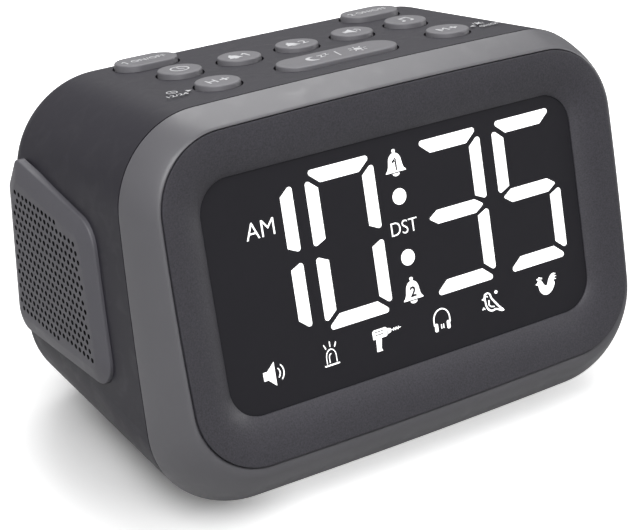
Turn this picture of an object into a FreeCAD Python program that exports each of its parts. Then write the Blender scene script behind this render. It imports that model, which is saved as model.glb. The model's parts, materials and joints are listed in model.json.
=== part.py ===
import FreeCAD, Part
import math
import os
from FreeCAD import Placement, Rotation, Vector

os.makedirs("parts", exist_ok=True)

# ---------------------------------------------------------------- driving sizes
# Millimetres. +X is to the right along the front, +Y goes into the depth, +Z is up.
# The origin is on the table, under the middle of the clock.

CLEAR = 0.35            # visible gap between two mouldings
SLIP = 0.15             # gap round a piece that is dropped into a pocket
WALL = 2.4              # housing wall
BASE_GAP = 1.2          # height of the flat base over the table

# Seam plane: the edge where the bezel meets the housing.
SEAM_Y = -21.1
SEAM_LEAN = 9.7         # degrees that the seam leans back
SEAM_HALF_W = 66.0
SEAM_HALF_H = 45.05
SEAM_CORNER = 21.0
SEAM_BOW = 0.85

# Front plane: the edge where the grey bezel meets the dark inner frame.
BEZEL_DEPTH = 12.1      # how far the front plane lies before the seam plane
BEZEL_RISE = 6.36       # how far its middle lies above the seam's middle
BEZEL_SIDE = 4.8        # width of the bezel at the sides, seen from the front
BEZEL_TOP = 7.75        # the same at the top and bottom
BEZEL_FULLNESS = 1.29   # section of the bezel: 1 is a quarter round, 2 is nearly a flat bevel
FRONT_LEAN = 15.24
INNER_CORNER = 16.9
INNER_BOW = 0.9

# Back wall of the housing, upright.
HOUSING_DEPTH = 64.2    # from the seam's middle to the back wall
BACK_NARROWING = 1.1    # how much the half width shrinks on the way
BACK_LOWERING = 4.4     # the same for the half height
BACK_CORNER = 22.3
BACK_BOW = 0.4
BACK_ROUNDING = 8.0

# Top of the housing, which slopes down to the back; the buttons move at right angles to it.
TOP_SLOPE = 7.77
BUTTON_RISE = 0.81      # height of the button faces over the seam's top edge
TRAVEL = 0.6

# Display window.
FRAME_SIDE = 9.64       # width of the dark surround at the sides
FRAME_TOP = 10.4        # the same at the top and bottom
LENS_CORNER = 7.9
LENS_DROP = 3.2         # how far the window lies behind the front plane
LENS_THICK = 1.5
LENS_LEDGE = 1.6        # width of the lens hidden behind the frame
FRAME_DEPTH = 6.5

# Speaker and its grille on the left; the right grille is its mirror image.
GRILLE_RISE = 2.8       # how far the perforated face stands out past the seam's half width
GRILLE_SINK = 0.7       # how far the grille's foot is let into the side wall
SPEAKER_GAP = 3.1       # from the grille's foot to the speaker's flange
SPEAKER_SHARE = 0.27611  # the speaker's square flange, against the housing's mean of height and depth
SPEAKER_SIDE = 8.3      # from the flange to the back wall

# Screws for boards and speaker.
PILOT_R = 1.1
HOLE_CLEAR_R = 1.3
SCREW_HEAD_R = 2.2
SCREW_HEAD = 1.3
SCREW_LEN = 5.0
POST_R = 2.6
BOARD_THICK = 1.6

# ---------------------------------------------------------------- sizes that follow

SEAM_REACH = SEAM_HALF_H + SEAM_BOW
SEAM_Z = BASE_GAP + SEAM_REACH * math.cos(math.radians(SEAM_LEAN))
FRONT_Y = SEAM_Y - BEZEL_DEPTH
FRONT_Z = SEAM_Z + BEZEL_RISE
INNER_HALF_W = SEAM_HALF_W - BEZEL_SIDE
INNER_HALF_H = SEAM_HALF_H - BEZEL_TOP
BACK_Y = SEAM_Y + HOUSING_DEPTH
BACK_HALF_W = SEAM_HALF_W - BACK_NARROWING
BACK_HALF_H = SEAM_HALF_H - BACK_LOWERING
BACK_Z = BASE_GAP + BACK_HALF_H + BACK_BOW
TOP_Y = SEAM_Y + SEAM_REACH * math.sin(math.radians(SEAM_LEAN))
TOP_Z = SEAM_Z + SEAM_REACH * math.cos(math.radians(SEAM_LEAN))
LENS_HALF_W = INNER_HALF_W - FRAME_SIDE
LENS_HALF_H = INNER_HALF_H - FRAME_TOP
GRILLE_OUT = SEAM_HALF_W + GRILLE_RISE
GRILLE_SEAT = SEAM_HALF_W - GRILLE_SINK
SPEAKER_X = -(GRILLE_SEAT - SPEAKER_GAP)
SPEAKER_HALF = SPEAKER_SHARE * math.sqrt(2 * SEAM_HALF_H * HOUSING_DEPTH)
SPEAKER_UNIT = SPEAKER_HALF / 21.0
SPEAKER_Y = BACK_Y - SPEAKER_SIDE - SPEAKER_HALF
SPEAKER_Z = (SEAM_Z + BACK_Z) / 2 + 0.15

# ---------------------------------------------------------------- frames of reference


def leaning_frame(y, z, lean):
    """Frame whose x runs along the front, y up the leaning face and z out of it."""
    return Placement(Vector(0, y, z), Rotation(Vector(1, 0, 0), 90 - lean))


FRONT = leaning_frame(FRONT_Y, FRONT_Z, FRONT_LEAN)
TOP = Placement(Vector(0, TOP_Y, TOP_Z), Rotation(Vector(1, 0, 0), -TOP_SLOPE))

# ---------------------------------------------------------------- outlines


def bowed_ring(half_w, half_h, corner, bow, height=0.0):
    """Rounded rectangle whose four sides bow gently outwards, as a closed wire."""
    side_r = (half_h ** 2 + bow ** 2) / (2 * bow)
    top_r = (half_w ** 2 + bow ** 2) / (2 * bow)
    top_c = Vector(0, half_h + bow - top_r, 0)
    side_c = Vector(half_w + bow - side_r, 0, 0)
    span = side_c - top_c
    near = top_r - corner
    far = side_r - corner
    along = (near ** 2 - far ** 2 + span.Length ** 2) / (2 * span.Length)
    across = math.sqrt(near ** 2 - along ** 2)
    unit = Vector(span).normalize()
    hub = top_c + unit * along + Vector(-unit.y, unit.x, 0) * across
    if hub.x < 0 or hub.y < 0:
        hub = top_c + unit * along - Vector(-unit.y, unit.x, 0) * across
    top_end = top_c + (hub - top_c) * (top_r / near)
    side_end = side_c + (hub - side_c) * (side_r / far)
    middle = ((top_end - hub) + (side_end - hub)).normalize() * corner + hub
    top_mid = Vector(0, half_h + bow, 0)
    side_mid = Vector(half_w + bow, 0, 0)

    def at(point, sx, sy):
        return Vector(point.x * sx, point.y * sy, height)

    edges = []
    for sx, sy, turn in ((1, 1, 0), (-1, 1, 1), (-1, -1, 0), (1, -1, 1)):
        first, last = (side_end, top_end) if turn == 0 else (top_end, side_end)
        edges.append(Part.Arc(at(first, sx, sy), at(middle, sx, sy), at(last, sx, sy)).toShape())
        if turn == 0:
            edges.append(Part.Arc(at(top_end, sx, sy), at(top_mid, 0, sy), at(top_end, -sx, sy)).toShape())
        else:
            side = Part.Arc(at(side_end, sx, sy), at(side_mid, sx, 0), at(side_end, sx, -sy))
            edges.append(side.toShape())
    return Part.Wire(edges)


def rounded_ring(half_w, half_h, corner, height=0.0):
    """Rounded rectangle with straight sides, as a closed wire."""
    box = Part.makePlane(2 * half_w, 2 * half_h, Vector(-half_w, -half_h, height))
    solid = box.extrude(Vector(0, 0, 1))
    uprights = [e for e in solid.Edges if abs(e.Vertexes[0].X - e.Vertexes[1].X) < 1e-6
                and abs(e.Vertexes[0].Y - e.Vertexes[1].Y) < 1e-6]
    solid = solid.makeFillet(corner, uprights)
    floor = [f for f in solid.Faces if abs(f.CenterOfMass.z - height) < 1e-6][0]
    return floor.OuterWire


def placed(shape, frame):
    """The same shape moved from a local frame to the clock's frame."""
    moved = shape.copy()
    moved.Placement = frame.multiply(moved.Placement)
    return moved


def block(half_w, half_h, corner, low, high):
    """Upright prism of a rounded rectangle between two heights."""
    return Part.Face(rounded_ring(half_w, half_h, corner, low)).extrude(Vector(0, 0, high - low))


def box_between(x0, x1, y0, y1, z0, z1):
    return Part.makeBox(x1 - x0, y1 - y0, z1 - z0, Vector(x0, y0, z0))


def cylinder(radius, start, end):
    axis = end - start
    return Part.makeCylinder(radius, axis.Length, start, axis)


def fused(shapes):
    return shapes[0].multiFuse(shapes[1:]).removeSplitter()


def mirrored(shape):
    return shape.mirror(Vector(0, 0, 0), Vector(1, 0, 0))


def keep(name, shape):
    shape.exportStep("parts/" + name + ".step")


# ---------------------------------------------------------------- front bezel


def bezel_ring(turn, inset=0.0):
    """Section of the bezel's convex skin: turn 0 is the inner edge, 90 the outer seam."""
    out = math.sin(math.radians(turn)) ** BEZEL_FULLNESS
    back = 1 - math.cos(math.radians(turn)) ** BEZEL_FULLNESS
    frame = leaning_frame(FRONT_Y + (SEAM_Y - FRONT_Y) * back,
                          FRONT_Z + (SEAM_Z - FRONT_Z) * out,
                          FRONT_LEAN + (SEAM_LEAN - FRONT_LEAN) * back)
    wire = bowed_ring(INNER_HALF_W + (SEAM_HALF_W - INNER_HALF_W) * out - inset,
                      INNER_HALF_H + (SEAM_HALF_H - INNER_HALF_H) * out - inset,
                      INNER_CORNER + (SEAM_CORNER - INNER_CORNER) * out - inset,
                      INNER_BOW + (SEAM_BOW - INNER_BOW) * out)
    return placed(wire, frame)


COLLAR_DEPTH = 4.0      # depth of the collar round the inner edge
COLLAR_W = 1.8          # its thickness at the sides
COLLAR_H = 1.1          # and at the top and bottom
LIP_THICK = 1.3         # lip that slides into the housing
LIP_ROOT = 0.6          # how far it starts before the seam
LIP_DEPTH = 4.0         # how far it reaches behind the seam
BODY_AXIS = Vector(0, HOUSING_DEPTH, BACK_Z - SEAM_Z).normalize()
PAST = 1.0              # how far a cutting tool runs past the surface that it cuts


def front_bezel():
    skin = Part.makeLoft([bezel_ring(turn) for turn in (0, 18, 36, 54, 72, 90)], True, False)
    collar_back = placed(bowed_ring(INNER_HALF_W + COLLAR_W, INNER_HALF_H + COLLAR_H,
                                    INNER_CORNER + COLLAR_H, INNER_BOW, -COLLAR_DEPTH), FRONT)
    hollow = Part.makeLoft([collar_back, bezel_ring(90, WALL + 0.4)], True, True)
    opening = Part.Face(bowed_ring(INNER_HALF_W + CLEAR / 2, INNER_HALF_H + CLEAR / 2,
                                   INNER_CORNER + CLEAR / 2, INNER_BOW, -COLLAR_DEPTH - PAST))
    opening = placed(opening.extrude(Vector(0, 0, COLLAR_DEPTH + 6 * PAST)), FRONT)
    bezel = skin.cut(hollow).cut(opening)
    lip_outer = Part.Face(bezel_ring(90, WALL + CLEAR))
    lip_inner = Part.Face(bezel_ring(90, WALL + CLEAR + LIP_THICK))
    lip = lip_outer.cut(lip_inner)
    lip.translate(BODY_AXIS * -LIP_ROOT)
    lip = lip.extrude(BODY_AXIS * (LIP_ROOT + LIP_DEPTH))
    return bezel.fuse(lip).removeSplitter()


# ---------------------------------------------------------------- inner frame and display


def display_frame():
    """Dark surround that rolls in from the bezel to the recessed window."""
    edge = INNER_HALF_W - CLEAR / 2
    edge_h = INNER_HALF_H - CLEAR / 2
    edge_r = INNER_CORNER - CLEAR / 2
    land = 0.5
    steepest = 62.0
    drop = LENS_DROP - 0.3
    body = Part.Face(bowed_ring(edge, edge_h, edge_r, INNER_BOW, -FRAME_DEPTH))
    body = body.extrude(Vector(0, 0, FRAME_DEPTH - 0.2))
    flange = Part.Face(bowed_ring(INNER_HALF_W + COLLAR_W - 0.5, INNER_HALF_H + COLLAR_H - 0.4,
                                  INNER_CORNER + COLLAR_H - 0.4, INNER_BOW, -FRAME_DEPTH))
    flange = flange.extrude(Vector(0, 0, FRAME_DEPTH - COLLAR_DEPTH))
    sections = []
    for turn in (0, 20, 40, steepest):
        inward = math.sin(math.radians(turn)) / math.sin(math.radians(steepest))
        down = (1 - math.cos(math.radians(turn))) / (1 - math.cos(math.radians(steepest)))
        sections.append(bowed_ring(edge - land + (LENS_HALF_W - edge + land) * inward,
                                   edge_h - land + (LENS_HALF_H - edge_h + land) * inward,
                                   edge_r - land + (LENS_CORNER - edge_r + land) * inward,
                                   INNER_BOW + (0.2 - INNER_BOW) * inward,
                                   -0.2 - (drop - 0.2) * down))
    dish = Part.makeLoft(sections, True, False)
    window = Part.Face(bowed_ring(LENS_HALF_W, LENS_HALF_H, LENS_CORNER, 0.2, -FRAME_DEPTH - 1))
    window = window.extrude(Vector(0, 0, FRAME_DEPTH + 1 - drop + 0.01))
    seat = block(LENS_HALF_W + LENS_LEDGE + SLIP, LENS_HALF_H + LENS_LEDGE + SLIP,
                 LENS_CORNER + LENS_LEDGE, -FRAME_DEPTH - 1, -LENS_DROP)
    lip_over = body.fuse(flange).cut(dish).cut(window).cut(seat)
    posts = [cylinder(POST_R, Vector(x, y, -FRAME_DEPTH), Vector(x, y, -BOARD_FRONT))
             for x, y in DISPLAY_POSTS]
    frame = fused([lip_over] + posts)
    for x, y in DISPLAY_POSTS:
        frame = frame.cut(Part.makeCylinder(PILOT_R, SCREW_LEN + 0.4, Vector(x, y, -BOARD_FRONT)))
    return placed(frame, FRONT)


POST_OUT = 4.94         # from the window's side to the display posts
POST_IN = 4.9           # from the window's top and bottom to them
DISPLAY_POSTS = [(sx * (LENS_HALF_W + POST_OUT), sy * (LENS_HALF_H - POST_IN))
                 for sx in (-1, 1) for sy in (-1, 1)]
BOARD_SIDE = 7.9        # how far the display board reaches past the window at the sides
BOARD_TOP = 0.6         # the same at the top and bottom
MODULE_DEPTH = 7.4
BOARD_FRONT = LENS_DROP + LENS_THICK + MODULE_DEPTH


def display_lens():
    return placed(block(LENS_HALF_W + LENS_LEDGE, LENS_HALF_H + LENS_LEDGE, LENS_CORNER + LENS_LEDGE - SLIP,
                        -LENS_DROP - LENS_THICK, -LENS_DROP), FRONT)


def display_reflector():
    """Light box of the seven-segment module, with a stepped back."""
    top = -LENS_DROP - LENS_THICK
    body = block(LENS_HALF_W - 1.0, LENS_HALF_H - 1.0, 3.0, -BOARD_FRONT + 1.2, top)
    feet = block(LENS_HALF_W - 4.0, LENS_HALF_H - 4.0, 3.0, -BOARD_FRONT, -BOARD_FRONT + 1.2)
    return placed(body.fuse(feet).removeSplitter(), FRONT)


def display_board():
    board = block(LENS_HALF_W + BOARD_SIDE, LENS_HALF_H + BOARD_TOP, 2.0,
                  -BOARD_FRONT - BOARD_THICK, -BOARD_FRONT)
    for x, y in DISPLAY_POSTS:
        board = board.cut(Part.makeCylinder(HOLE_CLEAR_R, BOARD_THICK + 2 * PAST,
                                            Vector(x, y, -BOARD_FRONT - BOARD_THICK - PAST)))
    return placed(board, FRONT)


# ---------------------------------------------------------------- digits

DIGIT_TOP_GAP = 3.15    # from the window's top to the digits
SIGN_ROW = 13.85        # height of the row of signs under the digits
DIGIT_HALF_W = 0.1794 * LENS_HALF_W                             # to the outer edge of the upright bars
DIGIT_HALF_H = LENS_HALF_H - (DIGIT_TOP_GAP + SIGN_ROW) / 2     # to the edge of the top and bottom bars
DIGIT_MID = (SIGN_ROW - DIGIT_TOP_GAP) / 2                      # over the window's centre
DIGIT_AT = [share * LENS_HALF_W for share in (-0.72537, -0.29868, 0.29286, 0.72343)]
DIGIT_SHOWN = ("bc", "abcdef", "abcdg", "acdfg")
BAR = 3.25              # width of a bar
MITRE = 39.0            # degrees that the ends of the outer bars slant
MITRE_GAP = 1.3         # gap between two bars at a corner
WAIST_SLANT = 24.6      # degrees that the upright bars' ends slant at the waist
WAIST_GAP = 0.98        # from the waist line to the upright bars' outer corner
POINT_IN = 1.2          # how far the middle bar's points stay inside the digit's width
POINT_SLANT = 33.0
TIP_ROUND = 0.7         # rounding of the bars' sharp corners
WAIST_ROUND = 0.35
LIT_THICK = 0.12
DOT_R = 1.88
DOT_X = -0.2
DOT_HEIGHTS = (DIGIT_MID + 0.3886 * DIGIT_HALF_H, DIGIT_MID - 0.394 * DIGIT_HALF_H)


def slant(run, degrees):
    return run * math.tan(math.radians(degrees))


def bar_corners(letter):
    """Corners of one bar round the digit's middle, each with its rounding radius."""
    w, h = DIGIT_HALF_W, DIGIT_HALF_H
    if letter in "ad":
        inner = w - BAR / math.tan(math.radians(MITRE))
        corners = [(-w, h, TIP_ROUND), (w, h, TIP_ROUND), (inner, h - BAR, 0), (-inner, h - BAR, 0)]
    elif letter == "g":
        tip = w - POINT_IN
        body = tip - BAR / 2 / math.tan(math.radians(POINT_SLANT))
        corners = [(-tip, 0, WAIST_ROUND), (-body, BAR / 2, 0), (body, BAR / 2, 0),
                   (tip, 0, WAIST_ROUND), (body, -BAR / 2, 0), (-body, -BAR / 2, 0)]
    else:
        top = h - MITRE_GAP / math.cos(math.radians(MITRE))
        corners = [(w, top, TIP_ROUND), (w, WAIST_GAP, TIP_ROUND),
                   (w - BAR, WAIST_GAP + slant(BAR, WAIST_SLANT), 0), (w - BAR, top - slant(BAR, MITRE), 0)]
    across = -1 if letter in "ef" else 1
    up = -1 if letter in "cde" else 1
    return [(across * x, up * y, radius) for x, y, radius in corners]


def lit_bar(letter, centre_x):
    """Thin plate of one bar with its tips rounded off."""
    corners = bar_corners(letter)
    points = [Vector(centre_x + x, DIGIT_MID + y, 0) for x, y, radius in corners]
    plate = Part.Face(Part.makePolygon(points + [points[0]])).extrude(Vector(0, 0, LIT_THICK))
    for point, (x, y, radius) in zip(points, corners):
        if radius:
            middle = point + Vector(0, 0, LIT_THICK / 2)
            edge = min(plate.Edges, key=lambda e: (e.CenterOfMass - middle).Length)
            plate = plate.makeFillet(radius, [edge])
    return plate


def lit_digits():
    """The bars of 10:35 and the two colon dots, just proud of the window."""
    shapes = []
    for centre_x, shown in zip(DIGIT_AT, DIGIT_SHOWN):
        for letter in shown:
            shapes.append(lit_bar(letter, centre_x))
    for height in DOT_HEIGHTS:
        shapes.append(Part.makeCylinder(DOT_R, LIT_THICK, Vector(DOT_X, height, 0)))
    group = Part.makeCompound(shapes)
    group.translate(Vector(0, 0, -LENS_DROP))
    return placed(group, FRONT)


# ---------------------------------------------------------------- housing


def housing_ring(share, inset=0.0):
    """Section of the housing; share 0 is the seam and 1 the back wall."""
    frame = leaning_frame(SEAM_Y + CLEAR + (BACK_Y - SEAM_Y - CLEAR) * share,
                          SEAM_Z + (BACK_Z - SEAM_Z) * share, SEAM_LEAN * (1 - share))
    wire = bowed_ring(SEAM_HALF_W + (BACK_HALF_W - SEAM_HALF_W) * share - inset,
                      SEAM_HALF_H + (BACK_HALF_H - SEAM_HALF_H) * share - inset,
                      SEAM_CORNER + (BACK_CORNER - SEAM_CORNER) * share - inset,
                      SEAM_BOW + (BACK_BOW - SEAM_BOW) * share)
    return placed(wire, frame)


def rounded_loft(inset, front_share, back_share, rounding):
    solid = Part.makeLoft([housing_ring(front_share, inset), housing_ring(back_share, inset)], True, True)
    back = max(solid.Faces, key=lambda f: f.CenterOfMass.y)
    return solid.makeFillet(rounding, back.Edges)


COLUMN = 16.15          # pitch of the buttons along the front
ROW_FRONT = 12.1        # the three rows, measured back from the seam's top edge
ROW_MID = 29.3
ROW_BACK = 45.15
KEY_R = 5.35            # radius of the round buttons and of the long one's ends
SNOOZE_HALF = 10.8      # half of the long button's straight part
SWITCH_KEY_R = 5.05     # the two ON/OFF buttons
SWITCH_KEY_HALF = 3.0
SWITCH_KEY_OUT = 0.25   # how far they stand outside the outer columns

# Buttons: name, place along the front and along the top, half length of the straight part, radius.
BUTTONS = (
    ("snooze_dimmer", 0.0, ROW_FRONT, SNOOZE_HALF, KEY_R),
    ("hour", -2 * COLUMN, ROW_FRONT, 0.0, KEY_R),
    ("minute", 2 * COLUMN, ROW_FRONT, 0.0, KEY_R),
    ("time_set", -2 * COLUMN, ROW_MID, 0.0, KEY_R),
    ("alarm1_set", -COLUMN, ROW_MID, 0.0, KEY_R),
    ("alarm2_set", 0.0, ROW_MID, 0.0, KEY_R),
    ("alarm_volume", COLUMN, ROW_MID, 0.0, KEY_R),
    ("alarm_sound", 2 * COLUMN, ROW_MID, 0.0, KEY_R),
    ("alarm1_on_off", -2 * COLUMN - SWITCH_KEY_OUT, ROW_BACK, SWITCH_KEY_HALF, SWITCH_KEY_R),
    ("alarm2_on_off", 2 * COLUMN + SWITCH_KEY_OUT, ROW_BACK, SWITCH_KEY_HALF, SWITCH_KEY_R),
)
# Heights over the seam's top edge, at right angles to the top.
GUIDE_TOP = -1.85       # rims round the slots run from here, inside the wall,
GUIDE_LOW = -4.45       # to here
CAP_HEIGHT = 1.5        # drafted part of a button
CAP_ROUND = 0.3
CAP_TAPER = 0.15        # how much narrower a button's face is than its foot
FLANGE_THICK = 1.0
FLANGE_OUT = 1.0
FLANGE_GAP = 0.05
STEM_R = 1.6
PLUNGER_R = 1.7
PLUNGER_SINK = 1.0      # how deep a plunger stands in its switch at rest
SWITCH_TOP = -8.05      # top of the switch plungers at rest
SWITCH_BODY_TOP = SWITCH_TOP - 1.2
SWITCH_BODY_LOW = SWITCH_BODY_TOP - 3.5
SWITCH_HALF = 3.0
KEY_BOARD_LOW = SWITCH_BODY_LOW - BOARD_THICK
KEY_EDGE = 5.4          # how far the key board reaches past the rows
KEY_SIDE = 15.1         # how far it reaches past the outer columns
KEY_POST_OUT = 12.3     # from the outer columns to the posts
SLOT_GAP = 0.4
RIM = 1.4               # thickness of the guide rims


def stadium(x, y, half_len, radius, low, high, taper=0.0):
    """Round or long key form between two heights, narrower at the top by the taper."""
    if half_len == 0:
        if taper:
            return Part.makeCone(radius, radius - taper, high - low, Vector(x, y, low))
        return Part.makeCylinder(radius, high - low, Vector(x, y, low))

    def outline(r, z):
        left = Vector(x - half_len, y, z)
        right = Vector(x + half_len, y, z)
        up = Vector(0, r, 0)
        return Part.Wire([Part.makeLine(left - up, right - up),
                          Part.Arc(right - up, right + Vector(r, 0, 0), right + up).toShape(),
                          Part.makeLine(right + up, left + up),
                          Part.Arc(left + up, left - Vector(r, 0, 0), left - up).toShape()])

    if taper:
        return Part.makeLoft([outline(radius, low), outline(radius - taper, high)], True, True)
    return Part.Face(outline(radius, low)).extrude(Vector(0, 0, high - low))


def button(x, y, half_len, radius):
    """Cap, neck, retaining flange and stem of one button, in the top frame."""
    cap_low = BUTTON_RISE - CAP_HEIGHT
    flange_top = GUIDE_LOW - FLANGE_GAP
    cap = stadium(x, y, half_len, radius, cap_low, BUTTON_RISE, CAP_TAPER)
    top_face = max(cap.Faces, key=lambda f: f.CenterOfMass.z)
    cap = cap.makeFillet(CAP_ROUND, top_face.Edges)
    neck = stadium(x, y, half_len, radius, flange_top, cap_low)
    flange = stadium(x, y, half_len, radius + FLANGE_OUT, flange_top - FLANGE_THICK, flange_top)
    stem = Part.makeCylinder(STEM_R, flange_top - SWITCH_TOP, Vector(x, y, SWITCH_TOP))
    return placed(fused([cap, neck, flange, stem]), TOP)


def switch_plunger(x, y):
    low = SWITCH_BODY_TOP - PLUNGER_SINK
    return placed(Part.makeCylinder(PLUNGER_R, SWITCH_TOP - low, Vector(x, y, low)), TOP)


def switch_bodies():
    """Ten push switches, each with the well that its plunger sinks into."""
    shapes = []
    for name, x, y, half_len, radius in BUTTONS:
        body = box_between(x - SWITCH_HALF, x + SWITCH_HALF, y - SWITCH_HALF, y + SWITCH_HALF,
                           SWITCH_BODY_LOW, SWITCH_BODY_TOP)
        well_depth = PLUNGER_SINK + TRAVEL + CLEAR
        foot = Vector(x, y, SWITCH_BODY_TOP - well_depth)
        well = Part.makeCylinder(PLUNGER_R + 0.1, well_depth + PAST, foot)
        shapes.append(body.cut(well))
    return placed(Part.makeCompound(shapes), TOP)


KEY_POSTS = [(sx * (2 * COLUMN + KEY_POST_OUT), y)
             for sx in (-1, 1) for y in (ROW_FRONT, (ROW_MID + ROW_BACK) / 2)]


def key_board():
    half_w = 2 * COLUMN + KEY_SIDE
    board = box_between(-half_w, half_w, ROW_FRONT - KEY_EDGE, ROW_BACK + KEY_EDGE,
                        KEY_BOARD_LOW, SWITCH_BODY_LOW)
    for x, y in KEY_POSTS:
        foot = Vector(x, y, KEY_BOARD_LOW - PAST)
        board = board.cut(Part.makeCylinder(HOLE_CLEAR_R, BOARD_THICK + 2 * PAST, foot))
    return placed(board, TOP)


def pan_screw(length):
    """Small pan-head screw standing on its point; its head starts at height 0."""
    shank = Part.makeCylinder(PILOT_R, length, Vector(0, 0, -length))
    head = Part.makeCylinder(SCREW_HEAD_R, SCREW_HEAD, Vector(0, 0, 0))
    rim = max(head.Edges, key=lambda e: e.CenterOfMass.z)
    return shank.fuse(head.makeFillet(SCREW_HEAD * 0.45, [rim])).removeSplitter()


def key_board_screws():
    shapes = []
    for x, y in KEY_POSTS:
        screw = pan_screw(SCREW_LEN)
        screw.rotate(Vector(0, 0, 0), Vector(1, 0, 0), 180)
        screw.translate(Vector(x, y, KEY_BOARD_LOW))
        shapes.append(screw)
    return placed(Part.makeCompound(shapes), TOP)


def display_screws():
    shapes = []
    for x, y in DISPLAY_POSTS:
        screw = pan_screw(SCREW_LEN)
        screw.rotate(Vector(0, 0, 0), Vector(1, 0, 0), 180)
        screw.translate(Vector(x, y, -BOARD_FRONT - BOARD_THICK))
        shapes.append(screw)
    return placed(Part.makeCompound(shapes), FRONT)


# ---------------------------------------------------------------- side grilles

# Outline of the raised grille in the side view. It opens out to the back, its front edge
# leans with the seam, and its upper back corner is cut off.
GRILLE_MID_Z = 45.7
GRILLE_FRONT_Y = SEAM_Y + 13.3  # front edge at the middle height
GRILLE_BACK_Y = BACK_Y - 5.6
GRILLE_FRONT_HALF = 19.4        # half height at the front edge
GRILLE_BACK_HALF = 22.6         # half height at the back edge
GRILLE_CUT_FORWARD = 4.5        # size of the cut corner along the top
GRILLE_CUT_DOWN = 8.0           # and down the back
GRILLE_FRONT_ROUND = 7.0
GRILLE_BACK_ROUND = 5.0
GRILLE_CUT_ROUND = 3.0
GRILLE_PEAK_ROUND = 1.8
GRILLE_EDGE = 2.0               # height of the upright edge over the foot
MARGIN = 4.2                    # width of the sloping border round the perforated face
LAND = 2.1                      # plain strip between the border and the holes
COVER_WALL = 2.0
HOLE_PITCH = 2.9
HOLE_R = 0.75


def inset_corner(before, corner, after, inset):
    """The corner of an outline after its two sides have moved inwards."""
    along = (corner - before).normalize()
    onward = (after - corner).normalize()
    inward = Vector(0, -along.z, along.y)
    inward_next = Vector(0, -onward.z, onward.y)
    return corner + (inward + inward_next) * (inset / (1 + inward.dot(inward_next)))


def grille_outline(inset, x):
    """Outline with rounded corners, in the plane at the given x."""
    lean = math.tan(math.radians(SEAM_LEAN)) * GRILLE_FRONT_HALF
    outer = [Vector(x, GRILLE_FRONT_Y - lean, GRILLE_MID_Z - GRILLE_FRONT_HALF),
             Vector(x, GRILLE_BACK_Y, GRILLE_MID_Z - GRILLE_BACK_HALF),
             Vector(x, GRILLE_BACK_Y, GRILLE_MID_Z + GRILLE_BACK_HALF - GRILLE_CUT_DOWN),
             Vector(x, GRILLE_BACK_Y - GRILLE_CUT_FORWARD, GRILLE_MID_Z + GRILLE_BACK_HALF),
             Vector(x, GRILLE_FRONT_Y + lean, GRILLE_MID_Z + GRILLE_FRONT_HALF)]
    rounds = (GRILLE_FRONT_ROUND, GRILLE_BACK_ROUND, GRILLE_CUT_ROUND, GRILLE_PEAK_ROUND, GRILLE_FRONT_ROUND)
    count = len(outer)
    corners = [inset_corner(outer[i - 1], outer[i], outer[(i + 1) % count], inset) for i in range(count)]
    arcs = []
    for i, corner in enumerate(corners):
        before = (corners[i - 1] - corner).normalize()
        after = (corners[(i + 1) % count] - corner).normalize()
        half = before.getAngle(after) / 2
        radius = max(rounds[i] - inset, 1.5)
        reach = radius / math.tan(half)
        hub = corner + (before + after).normalize() * (radius / math.sin(half))
        peak = hub + (corner - hub).normalize() * radius
        arcs.append((corner + before * reach, peak, corner + after * reach))
    edges = []
    for i in range(count):
        edges.append(Part.Arc(*arcs[i]).toShape())
        edges.append(Part.makeLine(arcs[i][2], arcs[(i + 1) % count][0]))
    return Part.Wire(edges)


def hex_hole(y, z):
    points = []
    for k in range(7):
        angle = math.radians(60 * k + 30)
        points.append(Vector(0, y + HOLE_R * math.cos(angle), z + HOLE_R * math.sin(angle)))
    prism = Part.Face(Part.makePolygon(points)).extrude(Vector(-COVER_WALL - 2 * PAST, 0, 0))
    prism.translate(Vector(-GRILLE_OUT + COVER_WALL + PAST, 0, 0))
    return prism


def left_grille():
    """Raised speaker cover: edge, sloping border and perforated face, hollow behind."""
    edge_x = -GRILLE_SEAT - GRILLE_EDGE
    face_x = -GRILLE_OUT
    rim = Part.makeLoft([grille_outline(0, -GRILLE_SEAT), grille_outline(0, edge_x)], True, True)
    crown = Part.makeLoft([grille_outline(0, edge_x), grille_outline(MARGIN, face_x)], True, True)
    cavity = Part.makeLoft([grille_outline(COVER_WALL, -GRILLE_SEAT + PAST),
                            grille_outline(COVER_WALL, edge_x + 0.6),
                            grille_outline(MARGIN + 0.6, face_x + 1.5)], True, True)
    cover = rim.fuse(crown).cut(cavity)
    row_step = HOLE_PITCH * math.sqrt(3) / 2
    field = Part.Face(grille_outline(MARGIN + LAND, 0))
    holes = []
    half_rows = int(GRILLE_BACK_HALF / row_step)
    columns = int((GRILLE_BACK_Y - GRILLE_FRONT_Y + MARGIN) / HOLE_PITCH) + 1
    for row in range(-half_rows, half_rows + 1):
        for column in range(columns):
            y = GRILLE_BACK_Y - (column + 0.5 * (row % 2)) * HOLE_PITCH
            z = GRILLE_MID_Z + row * row_step
            if field.isInside(Vector(0, y, z), 0.01, True):
                holes.append(hex_hole(y, z))
    return cover.cut(Part.makeCompound(holes)).removeSplitter()


def grille_pocket():
    """Space that the grille takes out of the housing wall."""
    return Part.makeLoft([grille_outline(-SLIP, -GRILLE_SEAT),
                          grille_outline(-SLIP, -GRILLE_SEAT - 6)], True, True)


# ---------------------------------------------------------------- speaker

SEAT_THICK = 2.6        # square seat moulded on the wall behind the speaker's flange


def along_x(radius, x0, x1, y=SPEAKER_Y, z=SPEAKER_Z):
    return cylinder(radius, Vector(x0, y, z), Vector(x1, y, z))


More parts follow.
